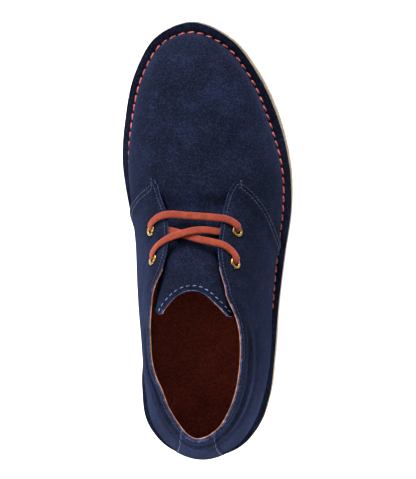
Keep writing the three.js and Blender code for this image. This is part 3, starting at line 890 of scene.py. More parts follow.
def crepe_material():
    """Natural crepe rubber: pressed sheets of latex crumb, dull, with a wrinkled skin."""
    material, tree = blank_material("pressed natural crepe rubber")
    place = object_place(tree)
    tone = noise_node(tree, place, 18.0, 4.0, 0.6)
    crumb = add(tree, "ShaderNodeTexVoronoi", {
        "Vector": place, "Scale": 1 / (2.1 * MM), "Randomness": 1.0,
    }, feature="SMOOTH_F1").outputs["Distance"]
    wrinkle = noise_node(tree, place, 1.0, 3.0, 0.6, 1.5)
    colour = ramp(tree, tone, stops(
        "crepe", (0.3, (0.754, 0.742, 0.719)), (0.5, PLAIN), (0.7, (1.288, 1.303, 1.36))))
    shade = ramp(tree, crumb, [(0.0, (1.08, 1.08, 1.08)), (0.7, (0.8, 0.78, 0.75))])
    colour = mix_colour(tree, 0.7, colour, shade, "MULTIPLY")
    surface(tree, {
        "Base Color": colour,
        "Roughness": 0.72,
        "Specular IOR Level": 0.35,
        "Subsurface Weight": 0.08,
        "Subsurface Radius": (0.004, 0.002, 0.001),
        "Normal": bump(tree, [(crumb, -0.45), (wrinkle, 0.15)]),
    })
    return material


def midsole_material():
    """Compressed leatherboard with a burnished edge: pale tan, in fine layers."""
    material, tree = blank_material("leatherboard with a trimmed edge")
    place = object_place(tree)
    squash = add(tree, "ShaderNodeMapping", {"Vector": place, "Scale": (1, 1, 9)})
    layers = noise_node(tree, squash.outputs[0], 6.0, 3.0, 0.6)
    colour = ramp(tree, layers, stops("midsole", (0.3, (0.571, 0.557, 0.544)), (0.7, PLAIN)))
    fibre = noise_node(tree, squash.outputs[0], 1.0, 2.0)
    surface(tree, {"Base Color": colour, "Roughness": 0.62, "Normal": bump(tree, [(fibre, 0.06)])})
    return material


def brass_material():
    """Stamped brass with a bright lacquer, worn a little dull in random patches."""
    material, tree = blank_material("lacquered stamped brass")
    place = object_place(tree)
    wear = noise_node(tree, place, 1.6, 3.0, 0.6)
    colour = ramp(tree, wear, stops("brass", (0.3, (0.356, 0.324, 0.312)), (0.7, PLAIN)))
    rough = add(tree, "ShaderNodeMapRange", {"Value": wear, "To Min": 0.2, "To Max": 0.36})
    surface(tree, {
        "Base Color": colour,
        "Metallic": 1.0,
        "Roughness": rough.outputs[0],
        "Normal": bump(tree, [(wear, 0.02)]),
    })
    return material


STRAND = 1.1  # spacing of the braid's strands along the lace, in mm


def lace_material():
    """Flat braided cotton with a brushed face: matt, with a herringbone of strands."""
    material, tree = blank_material("brushed flat cotton braid")
    uv = add(tree, "ShaderNodeUVMap", uv_map="lace").outputs[0]
    split = add(tree, "ShaderNodeSeparateXYZ", {0: uv})
    across = add(tree, "ShaderNodeMath", {0: split.outputs[1], 1: 0.0}, operation="ABSOLUTE")
    slant = add(tree, "ShaderNodeMath", {0: split.outputs[0], 1: across.outputs[0]}, operation="ADD")
    turns = {0: slant.outputs[0], 1: 2 * math.pi / STRAND}
    strand = add(tree, "ShaderNodeMath", turns, operation="MULTIPLY")
    strand = add(tree, "ShaderNodeMath", {0: strand.outputs[0]}, operation="SINE")
    place = object_place(tree)
    fuzz = noise_node(tree, place, 0.7, 3.0, 0.7)
    tone = noise_node(tree, place, 3.2, 3.0, 0.6)
    colour = ramp(tree, tone, stops(
        "lace", (0.3, (0.758, 0.754, 0.837)), (0.5, PLAIN), (0.72, (1.333, 1.549, 1.593))))
    dark = ramp(tree, fuzz, [(0.3, (0.72, 0.68, 0.66)), (0.65, (1.15, 1.15, 1.15))])
    colour = mix_colour(tree, 0.75, colour, dark, "MULTIPLY")
    surface(tree, {
        "Base Color": colour,
        "Roughness": 0.9,
        "Specular IOR Level": 0.2,
        "Sheen Weight": 0.24,
        "Sheen Tint": srgb("#ff9c80"),
        "Normal": bump(tree, [(strand.outputs[0], 0.05), (fuzz, 0.2)]),
    })
    return material


def thread_material(name, colour_name, darker):
    """Bonded polyester sewing thread: tight, with a slight gloss."""
    material, tree = blank_material(name)
    place = object_place(tree)
    tone = noise_node(tree, place, 2.4, 2.0)
    colour = ramp(tree, tone, stops(colour_name, (0.35, darker), (0.65, PLAIN)))
    ply = noise_node(tree, place, 0.4, 1.0)
    surface(tree, {
        "Base Color": colour,
        "Roughness": 0.7,
        "Specular IOR Level": 0.2,
        "Normal": bump(tree, [(ply, 0.05)]),
    })
    return material


MATERIALS = {
    "suede": lambda: suede_material(
        "brushed navy suede", "suede", (0.837, 0.852, 0.791), (1.377, 1.431, 1.578)),
    # The cut edges are lighter than the face: partly the edge's own colour, partly a painted highlight where
    # edges catch the light.
    "suede edge and highlight": lambda: suede_material(
        "cut edge of navy suede", "suede_edge_and_highlight", (0.437, 0.446, 0.436), (2.147, 2.015, 1.936), 5.0),
    "cut edge": cut_edge_material,
    "lining": lining_material,
    "insole": insole_material,
    "crepe": crepe_material,
    "midsole": midsole_material,
    "brass": brass_material,
    "lace": lace_material,
    "rust thread": lambda: thread_material(
        "waxed rust sole thread", "sole_thread", (0.448, 0.267, 0.265)),
    "navy thread": lambda: thread_material(
        "navy top-stitching thread", "top_thread", (0.31, 0.298, 0.32)),
    "pale thread": lambda: thread_material(
        "pale blue top-stitching thread", "tongue_thread", (0.334, 0.358, 0.437)),
}


def finish(name):
    """One of the boot's finishes, made the first time that it is asked for."""
    key = f"boot {name}"
    for material in bpy.data.materials:
        if material.get("boot_finish") == key:
            return material
    material = MATERIALS[name]()
    material["boot_finish"] = key
    return material


# ---------------------------------------------------------------------------------------
# Properties
# ---------------------------------------------------------------------------------------
def size(name, description, default, least):
    """A size in millimetres."""
    return FloatProperty(name=name, description=f"{description}, in mm", default=default, min=least)


def colour(name, description, value):
    return FloatVectorProperty(name=name, description=description, default=srgb(value)[:3],
                               subtype="COLOR", size=3, min=0, max=1)


class BootSettings(bpy.types.PropertyGroup):
    """Sizes that change how the boot's small work looks."""

    sole_pitch: size("Sole stitch pitch", "Length of one sole stitch and its gap", 6.3, 2)
    sole_thread: size("Sole thread", "Thickness of the sole's thread", 1.25, 0.2)
    top_pitch: size("Top-stitch pitch", "Length of one top stitch and its gap", 2.4, 1)
    top_thread: size("Top thread", "Thickness of the top-stitching thread", 0.62, 0.1)
    lace_width: size("Lace width", "Width of the flat lace", 5.3, 2)
    lace_thickness: size("Lace thickness", "Thickness of the flat lace", 1.5, 0.5)
    fineness: IntProperty(
        name="Sole fineness", description="Stations along each side of the sole", default=220, min=40)


class ColourSettings(bpy.types.PropertyGroup):
    """The boot's colours. Each finish varies around its own."""

    suede: colour("Suede", "Colour of the suede", "#0e111d")
    # Lighter than the suede: partly the cut edge's own colour, partly a painted highlight.
    suede_edge_and_highlight: colour("Suede's edge", "Colour of the suede's cut edges", "#222a44")
    lining: colour("Lining", "Colour of the lining leather", "#2f0301")
    lining_edge: colour("Lining's edge", "Colour of the lining's cut edges", "#7c4c34")
    insole: colour("Insole", "Colour of the insole", "#853224")
    crepe: colour("Crepe", "Colour of the sole and heel", "#8b7b67")
    midsole: colour("Midsole", "Colour of the midsole's edge", "#877866")
    brass: colour("Brass", "Colour of the eyelets", "#957a40")
    lace: colour("Lace", "Colour of the lace", "#601f0e")
    sole_thread: colour("Sole thread", "Colour of the sole's stitches", "#b05a50")
    top_thread: colour("Top thread", "Colour of the quarters' stitches", "#1e273c")
    tongue_thread: colour("Tongue thread", "Colour of the tongue's stitches", "#6a7693")


class StageSettings(bpy.types.PropertyGroup):
    """The camera, the lights and the floor."""

    camera_roll: FloatProperty(
        name="Camera roll", description="How far the camera stands to the outside of overhead",
        default=math.radians(3.0), subtype="ANGLE")
    camera_pitch: FloatProperty(
        name="Camera pitch", description="How far the camera stands behind overhead",
        default=0.0, subtype="ANGLE")
    camera_distance: FloatProperty(
        name="Camera distance", description="From the camera to the floor", default=2.0, unit="LENGTH")
    view_height: FloatProperty(
        name="View height", description="Length of floor that the view takes in from top to bottom",
        default=0.3257, unit="LENGTH")
    background: FloatProperty(
        name="Background", description="Brightness of the white surroundings", default=0.93, min=0)
    floor_colour: colour("Floor colour", "Colour of the floor", "#fbfbfb")


# ---------------------------------------------------------------------------------------
# Sole
# ---------------------------------------------------------------------------------------
def slab(curve_inset, profile, level, count, y_end=None):
    """A layer of the sole. profile: (extra inset, height) from its underside's edge to its top's.

    level gives the underside's height over the floor along y. y_end cuts it off square.
    """
    def curve(u):
        return outline(u, curve_inset(u))

    heel, toe = curve(np.array([HEEL_U, TOE_U]))[:, 1]
    share = np.arange(count + 1) / count
    last_y = toe if y_end is None else y_end
    if y_end is None:
        ys = heel + (toe - heel) * (1 - np.cos(math.pi * share)) / 2
    else:
        ys = heel + (last_y - heel) * (1 - np.cos(math.pi / 2 * share))
    outside = u_at(OUTSIDE, ys, curve)
    inside = u_at(INSIDE, ys, curve)
    outside[0], inside[0] = HEEL_U, float(AROUND)
    if y_end is None:
        outside[-1] = inside[-1] = TOE_U
    loop = np.concatenate([outside, inside[-2:0:-1] if y_end is None else inside[:0:-1]])
    extra = np.array([step[0] for step in profile])
    height = np.array([step[1] for step in profile])
    rings = []
    for inset, up in zip(extra, height):
        plan = outline(loop, curve_inset(loop) + inset)
        if y_end is not None:
            plan[:, 1] = np.minimum(plan[:, 1], y_end)
        rings.append(np.concatenate([plan, (level(plan[:, 1]) + up)[:, None]], -1))
    columns = len(loop)
    points = np.concatenate(rings)
    faces = grid_faces(len(profile), columns, closed=True)
    across = 14
    for ring, flip in ((0, True), (len(profile) - 1, False)):
        start = ring * columns
        rows = []
        for i in range(count + 1):
            left = start + i
            right = start + (columns - i) % columns
            if y_end is not None and i > 0:
                right = start + columns - i
            if left == right:
                rows.append([left] * (across + 1))
                continue
            t = np.linspace(0, 1, across + 1)[1:-1, None]
            between = points[left] * (1 - t) + points[right] * t
            first = len(points)
            points = np.concatenate([points, between])
            rows.append([left, *range(first, first + across - 1), right])
        for low, high in zip(rows, rows[1:]):
            for j in range(across):
                face = (low[j], high[j], high[j + 1], low[j + 1])
                faces.append(face[::-1] if flip else face)
    return points, faces


def rounded_profile(height, bottom_round, top_round, flare=0.0):
    """Edge profile of a sole layer, from underneath to on top, set in by flare at the top."""
    steps = [(bottom_round, 0.0)]
    for angle in (30, 60, 90):
        a = math.radians(angle)
        steps.append((bottom_round * (1 - math.sin(a)), bottom_round * (1 - math.cos(a))))
    for share in (0.35, 0.65):
        steps.append((flare * share, height * share))
    for angle in (0, 30, 60, 90):
        a = math.radians(angle)
        steps.append((flare + top_round * (1 - math.cos(a)), height - top_round * (1 - math.sin(a))))
    return steps


class BOOT_OT_sole(bpy.types.Operator):
    """Crepe outsole and heel block, and the midsole on them"""

    bl_idname = "boot.sole"
    bl_label = "Sole"

    def execute(self, context):
        count = context.scene.boot.fineness
        nothing = np.zeros_like
        points, faces = slab(nothing, rounded_profile(OUTSOLE + 0.15, 0.9, 0.5, 0.35), tread_z, count)
        make_piece("crepe_outsole", points, faces, [finish("crepe")], replaces=["outsole"])
        points, faces = slab(
            nothing, rounded_profile(HEEL_LIFT - 0.1, 0.8, 0.3), nothing, count // 2, HEEL_BREAST)
        make_piece("crepe_heel", points, faces, [finish("crepe")], replaces=["heel"])

        def inset(u):
            return 0.4 * edge_at(u)[..., TRIM]

        def level(y):
            return tread_z(y) + MIDSOLE_UP - 0.1

        profile = rounded_profile(MIDSOLE + 0.8, 0.35, 0.35)
        points, faces = slab(inset, profile, level, count)
        make_piece("midsole_layer", points, faces, [finish("midsole")],
                   replaces=["midsole"])
        return {"FINISHED"}


class BOOT_OT_insole(bpy.types.Operator):
    """The bare insole, its top's edge rounded over"""

    bl_idname = "boot.insole"
    bl_label = "Insole"

    def execute(self, context):
        def inset(u):
            return edge_at(u)[..., RIM_WIDTH] + SUEDE + LINING + 0.35

        def level(y):
            return tread_z(y) + RIM_UP

        profile = rounded_profile(INSOLE, 0.3, 0.9)
        points, faces = slab(inset, profile, level, context.scene.boot.fineness)
        make_piece("insole_sock", points, faces, [finish("insole")],
                   replaces=["insole"])
        return {"FINISHED"}


# ---------------------------------------------------------------------------------------
# Upper
# ---------------------------------------------------------------------------------------
CAP_REACH = 0.45  # the vamp's top is filled in from this share of the ribs
UNDERLAP = 8.0  # of the vamp, behind the quarters' front seams
CAP_LINES, CAP_ACROSS = 70, 44
VAMP_ROWS, TONGUE_ROWS = 46, 76


def tongue_place(s, t, longer=0.0):
    """A place on the tongue in plan. s: 0 at its root, 1 at its free end. t: outside to inside."""
    s, t = np.broadcast_arrays(s, t)
    bow = 2 * t - 1
    middle_y = TONGUE_ROOT + (TONGUE_END - TONGUE_ROOT) * s
    share = WING_SHARE * smoothstep((TONGUE_ROOT - middle_y) / 4)
    flat = np.clip(bow / (1 - share), -1, 1)
    wing = np.clip((np.abs(bow) - 1 + share) / WING_SHARE, 0, 1)
    corner_y = np.where(bow < 0, TONGUE_CORNERS[OUTSIDE], TONGUE_CORNERS[INSIDE])
    end_y = TONGUE_END - longer + (corner_y - TONGUE_END) * np.abs(flat) ** 2.3 + WING_RISE * wing
    y = TONGUE_ROOT + (end_y - TONGUE_ROOT) * s
    sides = along(TONGUE, 0.35 * middle_y + 0.65 * y)
    x = sides[..., 1] + (sides[..., 0] - sides[..., 1]) * (flat + 1) / 2
    width = WING_WIDTH * (1 - WING_NARROWING * smoothstep((s - 0.7) / 0.3))
    return x - np.sign(bow) * wing * width, y, wing


def vamp_surface():
    """The vamp and its tongue as one surface: a wall round the toe, its top, and the tongue."""
    corner_u = {side: float(u_at(side, TONGUE_FOOT)) for side in (OUTSIDE, INSIDE)}

    def cap_turn(u):
        return np.arccos(CAP_REACH ** (edge_at(u)[..., SQUARE] / 2))

    # The top's border on the outside, evenly spaced, and its match on the inside.
    raw = np.linspace(corner_u[OUTSIDE], TOE_U, 600)
    run = run_of(last_point(raw, cap_turn(raw)))
    u_out = np.interp(np.linspace(0, run[-1], CAP_LINES + 1), run, raw)
    y_match = wall_foot(u_out)[:, 1]
    u_in = u_at(INSIDE, y_match)
    u_in[-1] = TOE_U
    u_top = np.concatenate([u_out, u_in[-2::-1]])
    count = len(u_top)
    a_shares = np.linspace(0, 1, count)

    def top(a):
        u = np.interp(a, a_shares, u_top)
        return np.stack([u, cap_turn(u)], -1)

    foot_u = {side: float(u_at(side, SEAMS[side][0, 1] - UNDERLAP)) for side in (OUTSIDE, INSIDE)}

    def foot(a):
        u = foot_u[OUTSIDE] + (foot_u[INSIDE] - foot_u[OUTSIDE]) * a
        return np.stack([u, np.zeros_like(u)], -1)

    def side_line(side):
        table = SEAMS[side]
        top_turn = float(cap_turn(np.array([corner_u[side]]))[0])

        def at(b):
            turn = top_turn * np.asarray(b)
            y = np.minimum(along(table, turn)[..., 0] - UNDERLAP, TONGUE_FOOT)
            y = y + (TONGUE_FOOT - y) * smoothstep((np.asarray(b) - 0.85) / 0.15)
            return np.stack([u_at(side, y), turn], -1)
        return at

    wall = wall_grid(by_length(foot), top, side_line(OUTSIDE), side_line(INSIDE),
                     a_shares, np.linspace(0, 1, VAMP_ROWS))
    rows = len(wall)
    points = wall.reshape(-1, 3)
    faces = grid_faces(rows, count)

    # The top, in lines from the outside's border to the inside's.
    across = CAP_ACROSS
    t = np.linspace(0, 1, across + 1)[1:-1]
    top_row = (rows - 1) * count
    lines = []
    places = []
    border = rib_place(u_top, cap_turn(u_top))
    for i in range(CAP_LINES + 1):
        left, right = top_row + i, top_row + count - 1 - i
        if left == right:
            lines.append([left] * (across + 1))
            continue
        ends = border[i], border[count - 1 - i]
        first = len(points) + len(places)
        lines.append([left, *range(first, first + across - 1), right])
        places.extend(ends[0] * (1 - s) + ends[1] * s for s in t)
    places = np.array(places)
    points = np.concatenate([points, over(places[:, 0], places[:, 1])])

    # The tongue goes on from the first of those lines.
    s = np.linspace(0, 1, TONGUE_ROWS + 1)[1:, None]
    tongue = tongue_point(s, np.linspace(0, 1, across + 1)[None, :])
    first = len(points)
    points = np.concatenate([points, tongue.reshape(-1, 3)])
    tongue_lines = [list(range(first + r * (across + 1), first + (r + 1) * (across + 1)))
                    for r in range(TONGUE_ROWS)]
    stack = tongue_lines[::-1] + lines
    for low, high in zip(stack, stack[1:]):
        for j in range(across):
            faces.append((low[j], high[j], high[j + 1], low[j + 1]))
    return points, faces


def vamp_height(points):
    """The vamp and tongue's outer face over the last: it sinks under the quarters' lap."""
    seams = [plan_of(quarter_borders(side)[3](np.linspace(0, 1, 300))) for side in (OUTSIDE, INSIDE)]
    tips = [seam[-1, :2] for seam in seams]
    t = np.linspace(0, 1, 60)[:, None]
    across = tips[0] * (1 - t) + tips[1] * t
    lap = np.concatenate([*seams, top_point(across[:, 0], across[:, 1])])
    own = points[:, 0] > along(RIDGE, points[:, 1])[:, 1]
    seam_y = np.where(own, *(np.interp(points[:, 2], seam[:, 2], seam[:, 1]) for seam in seams))
    behind = points[:, 1] < seam_y
    under = np.where(behind, (SUEDE + 0.1) * smoothstep(distances(points, lap) / OVERLAP_FADE), 0)
    return 0.7 * waviness(points, 1.0) - under


def tongue_point(s, t, longer=0.0):
    """A point of the tongue, which sinks straight down between the facings."""
    x, y, wing = tongue_place(s, t, longer)
    normal = top_normal(x, y)
    start = smoothstep((TONGUE_ROOT - y) / 13)
    sunk = TONGUE_SUNK * start + TONGUE_DROP * smoothstep((6 - y) / 48) + WING_DEPTH * wing ** 1.4
    short = np.maximum(TONGUE_CLEAR * start - sunk * normal[..., 2], 0)
    return top_point(x, y) - normal * short[..., None] - sunk[..., None] * np.array([0.0, 0.0, 1.0])


class BOOT_OT_vamp(bpy.types.Operator):
    """Vamp and tongue, cut in one piece of suede"""

    bl_idname = "boot.vamp"
    bl_label = "Vamp and tongue"

    def execute(self, context):
        points, faces = vamp_surface()
        outer = vamp_height(points) + sole_groove(points)
        rounded = outer - rounded_edge(self.from_end(points))
        both, all_faces, parts = thicken(points, faces, rounded, outer - SUEDE)
        make_piece("vamp_and_tongue", both, all_faces,
                   [finish("suede"), finish("lining"), finish("suede edge and highlight")], parts,
                   replaces=["tongue"])
        self.line_tongue()
        return {"FINISHED"}

    def from_end(self, points):
        """Distance from the tongue's free end and sides."""
        t = np.linspace(0, 1, 200)
        ring = [tongue_point(np.ones(200), t), tongue_point(t, np.zeros(200)), tongue_point(t, np.ones(200))]
        return distances(points, np.concatenate(ring))

    def line_tongue(self):
        """The tongue's lining, cut just short of the suede."""
        share, across = np.linspace(0.1, 1, 70)[:, None], np.linspace(0, 1, 45)[None, :]
        grid = tongue_point(share, across, -0.5)
        points = grid.reshape(-1, 3)
        outer = vamp_height(points) - SUEDE - 0.03
        both, faces, parts = thicken(points, grid_faces(*grid.shape[:2]), outer, outer - LINING)
        make_piece("tongue_lining", both, faces,
                   [finish("lining"), finish("lining"), finish("cut edge")], parts)


def quarter_surface(side, behind=0.0):
    foot, top, back, seam = quarter_borders(side, behind)
    a = 1 - steps_from(EDGE_STEPS, top.length, GRAIN_STEP)[::-1]
    b = 1 - steps_from(EDGE_STEPS, SHAFT, GRAIN_STEP)[::-1]
    grid = wall_grid(foot, top, back, seam, a, b)
    grid = in_order(side, grid)
    edges = {
        "seam": plan_of(seam(np.linspace(0, 1, 400))),
        "top": plan_of(top(np.linspace(0, 1, 700))),
    }
    return grid, edges


HOLE_RADIUS = 2.75
PUNCH_LENGTH = 14


def punch(piece, places):
    """Cuts round holes through a sheet, square to the last."""
    for x, y in places:
        u, turn = rib_over(np.array([x]), np.array([y]))
        centre = Vector((last_point(u, turn)[0] + SHIFT) * MM)
        axis = Vector(last_normal(u, turn)[0])
        mesh = bpy.data.meshes.new("punch")
        bm = bmesh.new()
        bmesh.ops.create_cone(bm, cap_ends=True, segments=28, radius1=HOLE_RADIUS * MM,
                              radius2=HOLE_RADIUS * MM, depth=PUNCH_LENGTH * MM)
        turn_to = Vector((0, 0, 1)).rotation_difference(axis).to_matrix().to_4x4()
        bm.transform(Matrix.Translation(centre) @ turn_to)
        bm.to_mesh(mesh)
        bm.free()
        cutter = bpy.data.objects.new("punch", mesh)
        bpy.context.scene.collection.objects.link(cutter)
        modifier = piece.modifiers.new("punch", "BOOLEAN")
        modifier.object = cutter
        modifier.operation = "DIFFERENCE"
        modifier.solver = "EXACT"
        graph = bpy.context.evaluated_depsgraph_get()
        cut = bpy.data.meshes.new_from_object(piece.evaluated_get(graph))
        piece.modifiers.clear()
        old = piece.data
        piece.data = cut
        cut.name = old.name
        bpy.data.meshes.remove(old)
        bpy.data.objects.remove(cutter)
        bpy.data.meshes.remove(mesh)


def eyelets_of(word):
    return [place for name, place in EYELETS.items() if word in name]


class BOOT_OT_quarters(bpy.types.Operator):
    """The two quarters, lapped over the vamp, with their linings"""

    bl_idname = "boot.quarters"
    bl_label = "Quarters"

    def execute(self, context):
        for side, word in ((OUTSIDE, "outside"), (INSIDE, "inside")):
            grid, edges = quarter_surface(side)
            rows, columns = grid.shape[:2]
            points = grid.reshape(-1, 3)
            faces = grid_faces(rows, columns)
            from_seam = distances(points, edges["seam"])
            from_top = distances(points, edges["top"])
            to_edge = np.minimum(from_seam, from_top)
            rise = LAP_RISE * (1 - smoothstep(from_seam / OVERLAP_FADE))
            outer = rise + waviness(points, 3.0 + side) + collar_folds(side, points, from_top)
            outer += stitch_trough(to_edge, ROW_INSET) + stitch_trough(from_seam, SECOND_ROW)
            outer += sole_groove(points)
            inner = outer - SUEDE
            outer = outer - rounded_edge(to_edge)
            both, all_faces, parts = thicken(points, faces, outer, inner)
            piece = make_piece(f"quarter_{word}", both, all_faces,
                               [finish("suede"), finish("suede"), finish("suede edge and highlight")], parts,
                               replaces=["upper"])
            punch(piece, eyelets_of(word))
            self.line(side, word)
        return {"FINISHED"}

    def line(self, side, word):
        """The quarter's lining, which stops short of the vamp's lap."""
        grid, edges = quarter_surface(side, LINING_SETBACK)
        back = LINING_BACK * smoothstep((grid[-1, :, 1] - BARE_EDGE_END) / 8)[:, None]
        grid[-TOP_ROWS:] -= (grid[-TOP_ROWS:] - grid[-TOP_ROWS]) * back
        clear = (grid[:, :, 2] - foot_z(grid[:, :, 1])).min(axis=1) > 0.4
        grid = grid[int(np.argmax(clear)):]
        points = grid.reshape(-1, 3)
        seam = plan_of(quarter_borders(side)[3](np.linspace(0, 1, 400)))
        outer = LAP_RISE * (1 - smoothstep(distances(points, seam) / OVERLAP_FADE)) - SUEDE - 0.1
        outer += waviness(points, 3.0 + side) + collar_folds(side, points, distances(points, edges["top"]))
        both, faces, parts = thicken(points, grid_faces(*grid.shape[:2]), outer, outer - LINING)
        # Ahead of BARE_EDGE_END the lining's cut edge takes the dark lining finish.
        parts = [0 if part == 2 and both[face[0]][1] > BARE_EDGE_END else part
                 for part, face in zip(parts, faces)]
        piece = make_piece(f"lining_{word}", both, faces,
                           [finish("lining"), finish("lining"), finish("cut edge")], parts)
        punch(piece, eyelets_of(word))


STRIP_THICKNESS = 1.2
STRIP_WIDTH, STRIP_COLUMNS, STRIP_STEP = 28.0, 22, 1.2
# The heel strip's two sides: share of its height, then x inside and outside.
STRIP = np.array([
    (0, -20, 14),
    (0.3, -18.6, 12.6),
    (0.6, -15.6, 11.4),
    (1, -12, 10.6),
])


def strip_borders():
    """The strip's foot, top and two sides in (u, turn)."""
    us = np.linspace(-1.3, 1.1, 500)
    ends = edge_turn(us)
    shares = np.linspace(0, 1, 40)
    xs = [last_point(us, ends * share)[:, 0] for share in shares]

    def side(column):
        wanted = along(STRIP, shares)[:, column]
        table = np.array([np.interp(x, row, us) for x, row in zip(wanted, xs)])

        def at(b):
            u = np.interp(b, shares, table)
            return np.stack([u, np.interp(u, us, ends) * b], -1)
        return at

    back, front = side(0), side(1)

    def between(b):
        start, end = (float(border(np.array([b]))[0, 0]) for border in (back, front))

        def at(a):
            u = start + (end - start) * np.asarray(a)
            return np.stack([u, np.interp(u, us, ends) * b], -1)
        return at

    return between(0.0), between(1.0), back, front


class BOOT_OT_heel_strip(bpy.types.Operator):
    """The strip that covers the seam up the back of the heel"""

    bl_idname = "boot.heel_strip"
    bl_label = "Heel strip"

    def execute(self, context):
        foot, top, back, front = strip_borders()
        near = np.array(EDGE_STEPS) / STRIP_WIDTH
        middle = np.linspace(near[-1], 1 - near[-1], STRIP_COLUMNS)[1:-1]
        a = np.concatenate([near, middle, 1 - near[::-1]])
        b = 1 - steps_from(EDGE_STEPS, SHAFT, STRIP_STEP)[::-1]
        grid = wall_grid(foot, top, back, front, a, b)
        points = grid.reshape(-1, 3)
        sides = np.concatenate([grid[:, 0], grid[:, -1]])
        collar = plan_of(top(np.linspace(0, 1, 200)))
        folds = 0.5 * (collar_folds(INSIDE, points, distances(points, collar))
                       + collar_folds(OUTSIDE, points, distances(points, collar)))
        from_side = distances(points, sides)
        outer = STRIP_THICKNESS + folds + 0.5 * (waviness(points, 4.0) + waviness(points, 2.0))
        inner = outer - STRIP_THICKNESS - 0.25
        outer += stitch_trough(from_side, STRIP_INSET)
        outer -= rounded_edge(np.minimum(from_side, distances(points, collar)))
        both, faces, parts = thicken(points, grid_faces(*grid.shape[:2]), outer, inner)
        make_piece("heel_strip", both, faces, [finish("suede"), finish("suede"), finish("suede edge and highlight")],
                   parts)
        return {"FINISHED"}


# ---------------------------------------------------------------------------------------
# Eyelets and lace
# ---------------------------------------------------------------------------------------
# Half of an eyelet's section: radius, height over the leather.
EYELET_SECTION = (
    (2.1, -2.6), (2.08, -0.6), (2.12, 0.2), (2.3, 0.62), (2.65, 0.86), (3.0, 0.92),
    (3.35, 0.84), (3.65, 0.6), (3.85, 0.25), (3.86, 0.0), (3.7, -0.12), (2.7, -0.12),
    (2.62, -0.4), (2.6, -2.3), (3.2, -2.75), (3.2, -2.95), (2.6, -2.9),
)
EYELET_SIDES = 40
BESIDE_HOLE = 3.3


def surface_tree(*names):
    """A search tree over finished pieces' outer faces."""
    vertices, polygons = [], []
    for name in names:
        mesh = bpy.data.objects[name].data
        start = len(vertices)
        vertices.extend(v.co.copy() for v in mesh.vertices)
        polygons.extend([start + i for i in p.vertices] for p in mesh.polygons)
    return BVHTree.FromPolygons(vertices, polygons)


def lay_on(tree, points, normals, above=4.0, below=12.0):
    """Drops points, in millimetres, on to a finished piece along the last's normals."""
    laid = []
    for point, normal in zip(points, normals):
        direction = Vector(normal)
        start = Vector((point + SHIFT) * MM) + direction * above * MM
        hit = tree.ray_cast(start, -direction, (above + below) * MM)[0]
        if hit is None:
            hit = tree.find_nearest(start)[0]
        laid.append(np.array(hit) / MM - SHIFT)
    return np.array(laid)


def eyelet_seat(x, y, side):
    """Where an eyelet sits on the leather, found beside its hole, and the way that it faces."""
    beside_hole = rib_over(np.array([x + BESIDE_HOLE * side]), np.array([y]))
    lean = last_normal(*beside_hole)
    sheet = surface_tree(QUARTER_OF[side])
    leather = lay_on(sheet, last_point(*beside_hole), lean)[0]
    at = rib_over(np.array([x]), np.array([y]))
    base = last_point(*at)[0]
    return base + lean[0] * np.dot(leather - base, lean[0]), last_normal(*at)[0]


class BOOT_OT_eyelets(bpy.types.Operator):
    """Rolled brass eyelets with open barrels"""

    bl_idname = "boot.eyelets"
    bl_label = "Eyelets"

    def execute(self, context):
        for name, (x, y) in EYELETS.items():
            place, normal = eyelet_seat(x, y, OUTSIDE if "outside" in name else INSIDE)
            out = np.cross(normal, (0.0, 1.0, 0.0))
            out /= np.linalg.norm(out)
            ahead = np.cross(normal, out)
            angles = np.arange(EYELET_SIDES) * 2 * math.pi / EYELET_SIDES
            spokes = np.cos(angles)[:, None] * out + np.sin(angles)[:, None] * ahead
            rings = [place + spokes * radius + normal * height for radius, height in EYELET_SECTION]
            faces = []
            for r in range(len(rings)):
                low, high = r * EYELET_SIDES, (r + 1) % len(rings) * EYELET_SIDES
                for c in range(EYELET_SIDES):
                    d = (c + 1) % EYELET_SIDES
                    faces.append((low + c, high + c, high + d, low + d))
            make_piece(f"brass_{name}", np.concatenate(rings), faces, [finish("brass")],
                       replaces=[name], sharp=ROUND_WORK)
        return {"FINISHED"}


HOLE = "hole"
# The lace's whole run: x, y, its middle's height over the last, then HOLE inside an eyelet.
LACE_RUN = (
    (25.6, -18.4, -5.2),
    (23.4, -16.8, -4.6),
    (22.1, -15.2, -2.9, HOLE),
    (22.1, -15.1, 0.1, HOLE),
    (21.9, -13.4, 1.75),
    (21.0, -10.4, 1.7),
    (18.6, -7.0, 1.15),
    (14.0, -3.6, 0.9),
    (6.5, -0.6, -0.9),
    (-1.0, 1.4, -1.9),
    (-8.5, 4.0, -2.3),
    (-17.0, 6.6, -2.9),
    (-24.0, 7.8, -3.6),
    (-30.0, 6.9, -4.6),
    (-32.6, 6.5, -3.0, HOLE),
    (-32.6, 6.6, 0.1, HOLE),
    (-32.3, 8.7, 1.75),
    (-30.4, 12.2, 1.7),
    (-26.2, 15.2, 1.3),
    (-19.6, 16.5, 0.9),
    (-8.0, 16.2, -0.4),
    (5.0, 15.2, -0.4),
    (14.6, 13.5, 0.9),
    (19.8, 11.0, 1.45),
    (22.5, 8.0, 1.75),
    (22.9, 5.9, 0.1, HOLE),
    (22.9, 5.7, -3.0, HOLE),
    (20.4, 6.2, -4.8),
    (15.6, 6.8, -3.7),
    (10.4, 7.1, -3.1),
    (3.6, 7.4, -1.9),
    (-4.0, 6.5, -0.35),
    (-12.2, 4.3, 0.1),
    (-21.2, 0.4, 0.95),
    (-27.4, -4.4, 1.35),
    (-30.3, -10.1, 1.75),
    (-30.6, -12.7, 0.1, HOLE),
    (-30.6, -12.9, -2.9, HOLE),
    (-31.8, -14.6, -4.6),
    (-34.0, -16.6, -5.2),
)
LACE_STEPS = 7  # rings between two of the run's places
LACE_SIDES = 20
HOLE_WIDTH, HOLE_THICKNESS = 3.3, 1.9
TURNED_OVER = -4.5  # below this the lace lies face down


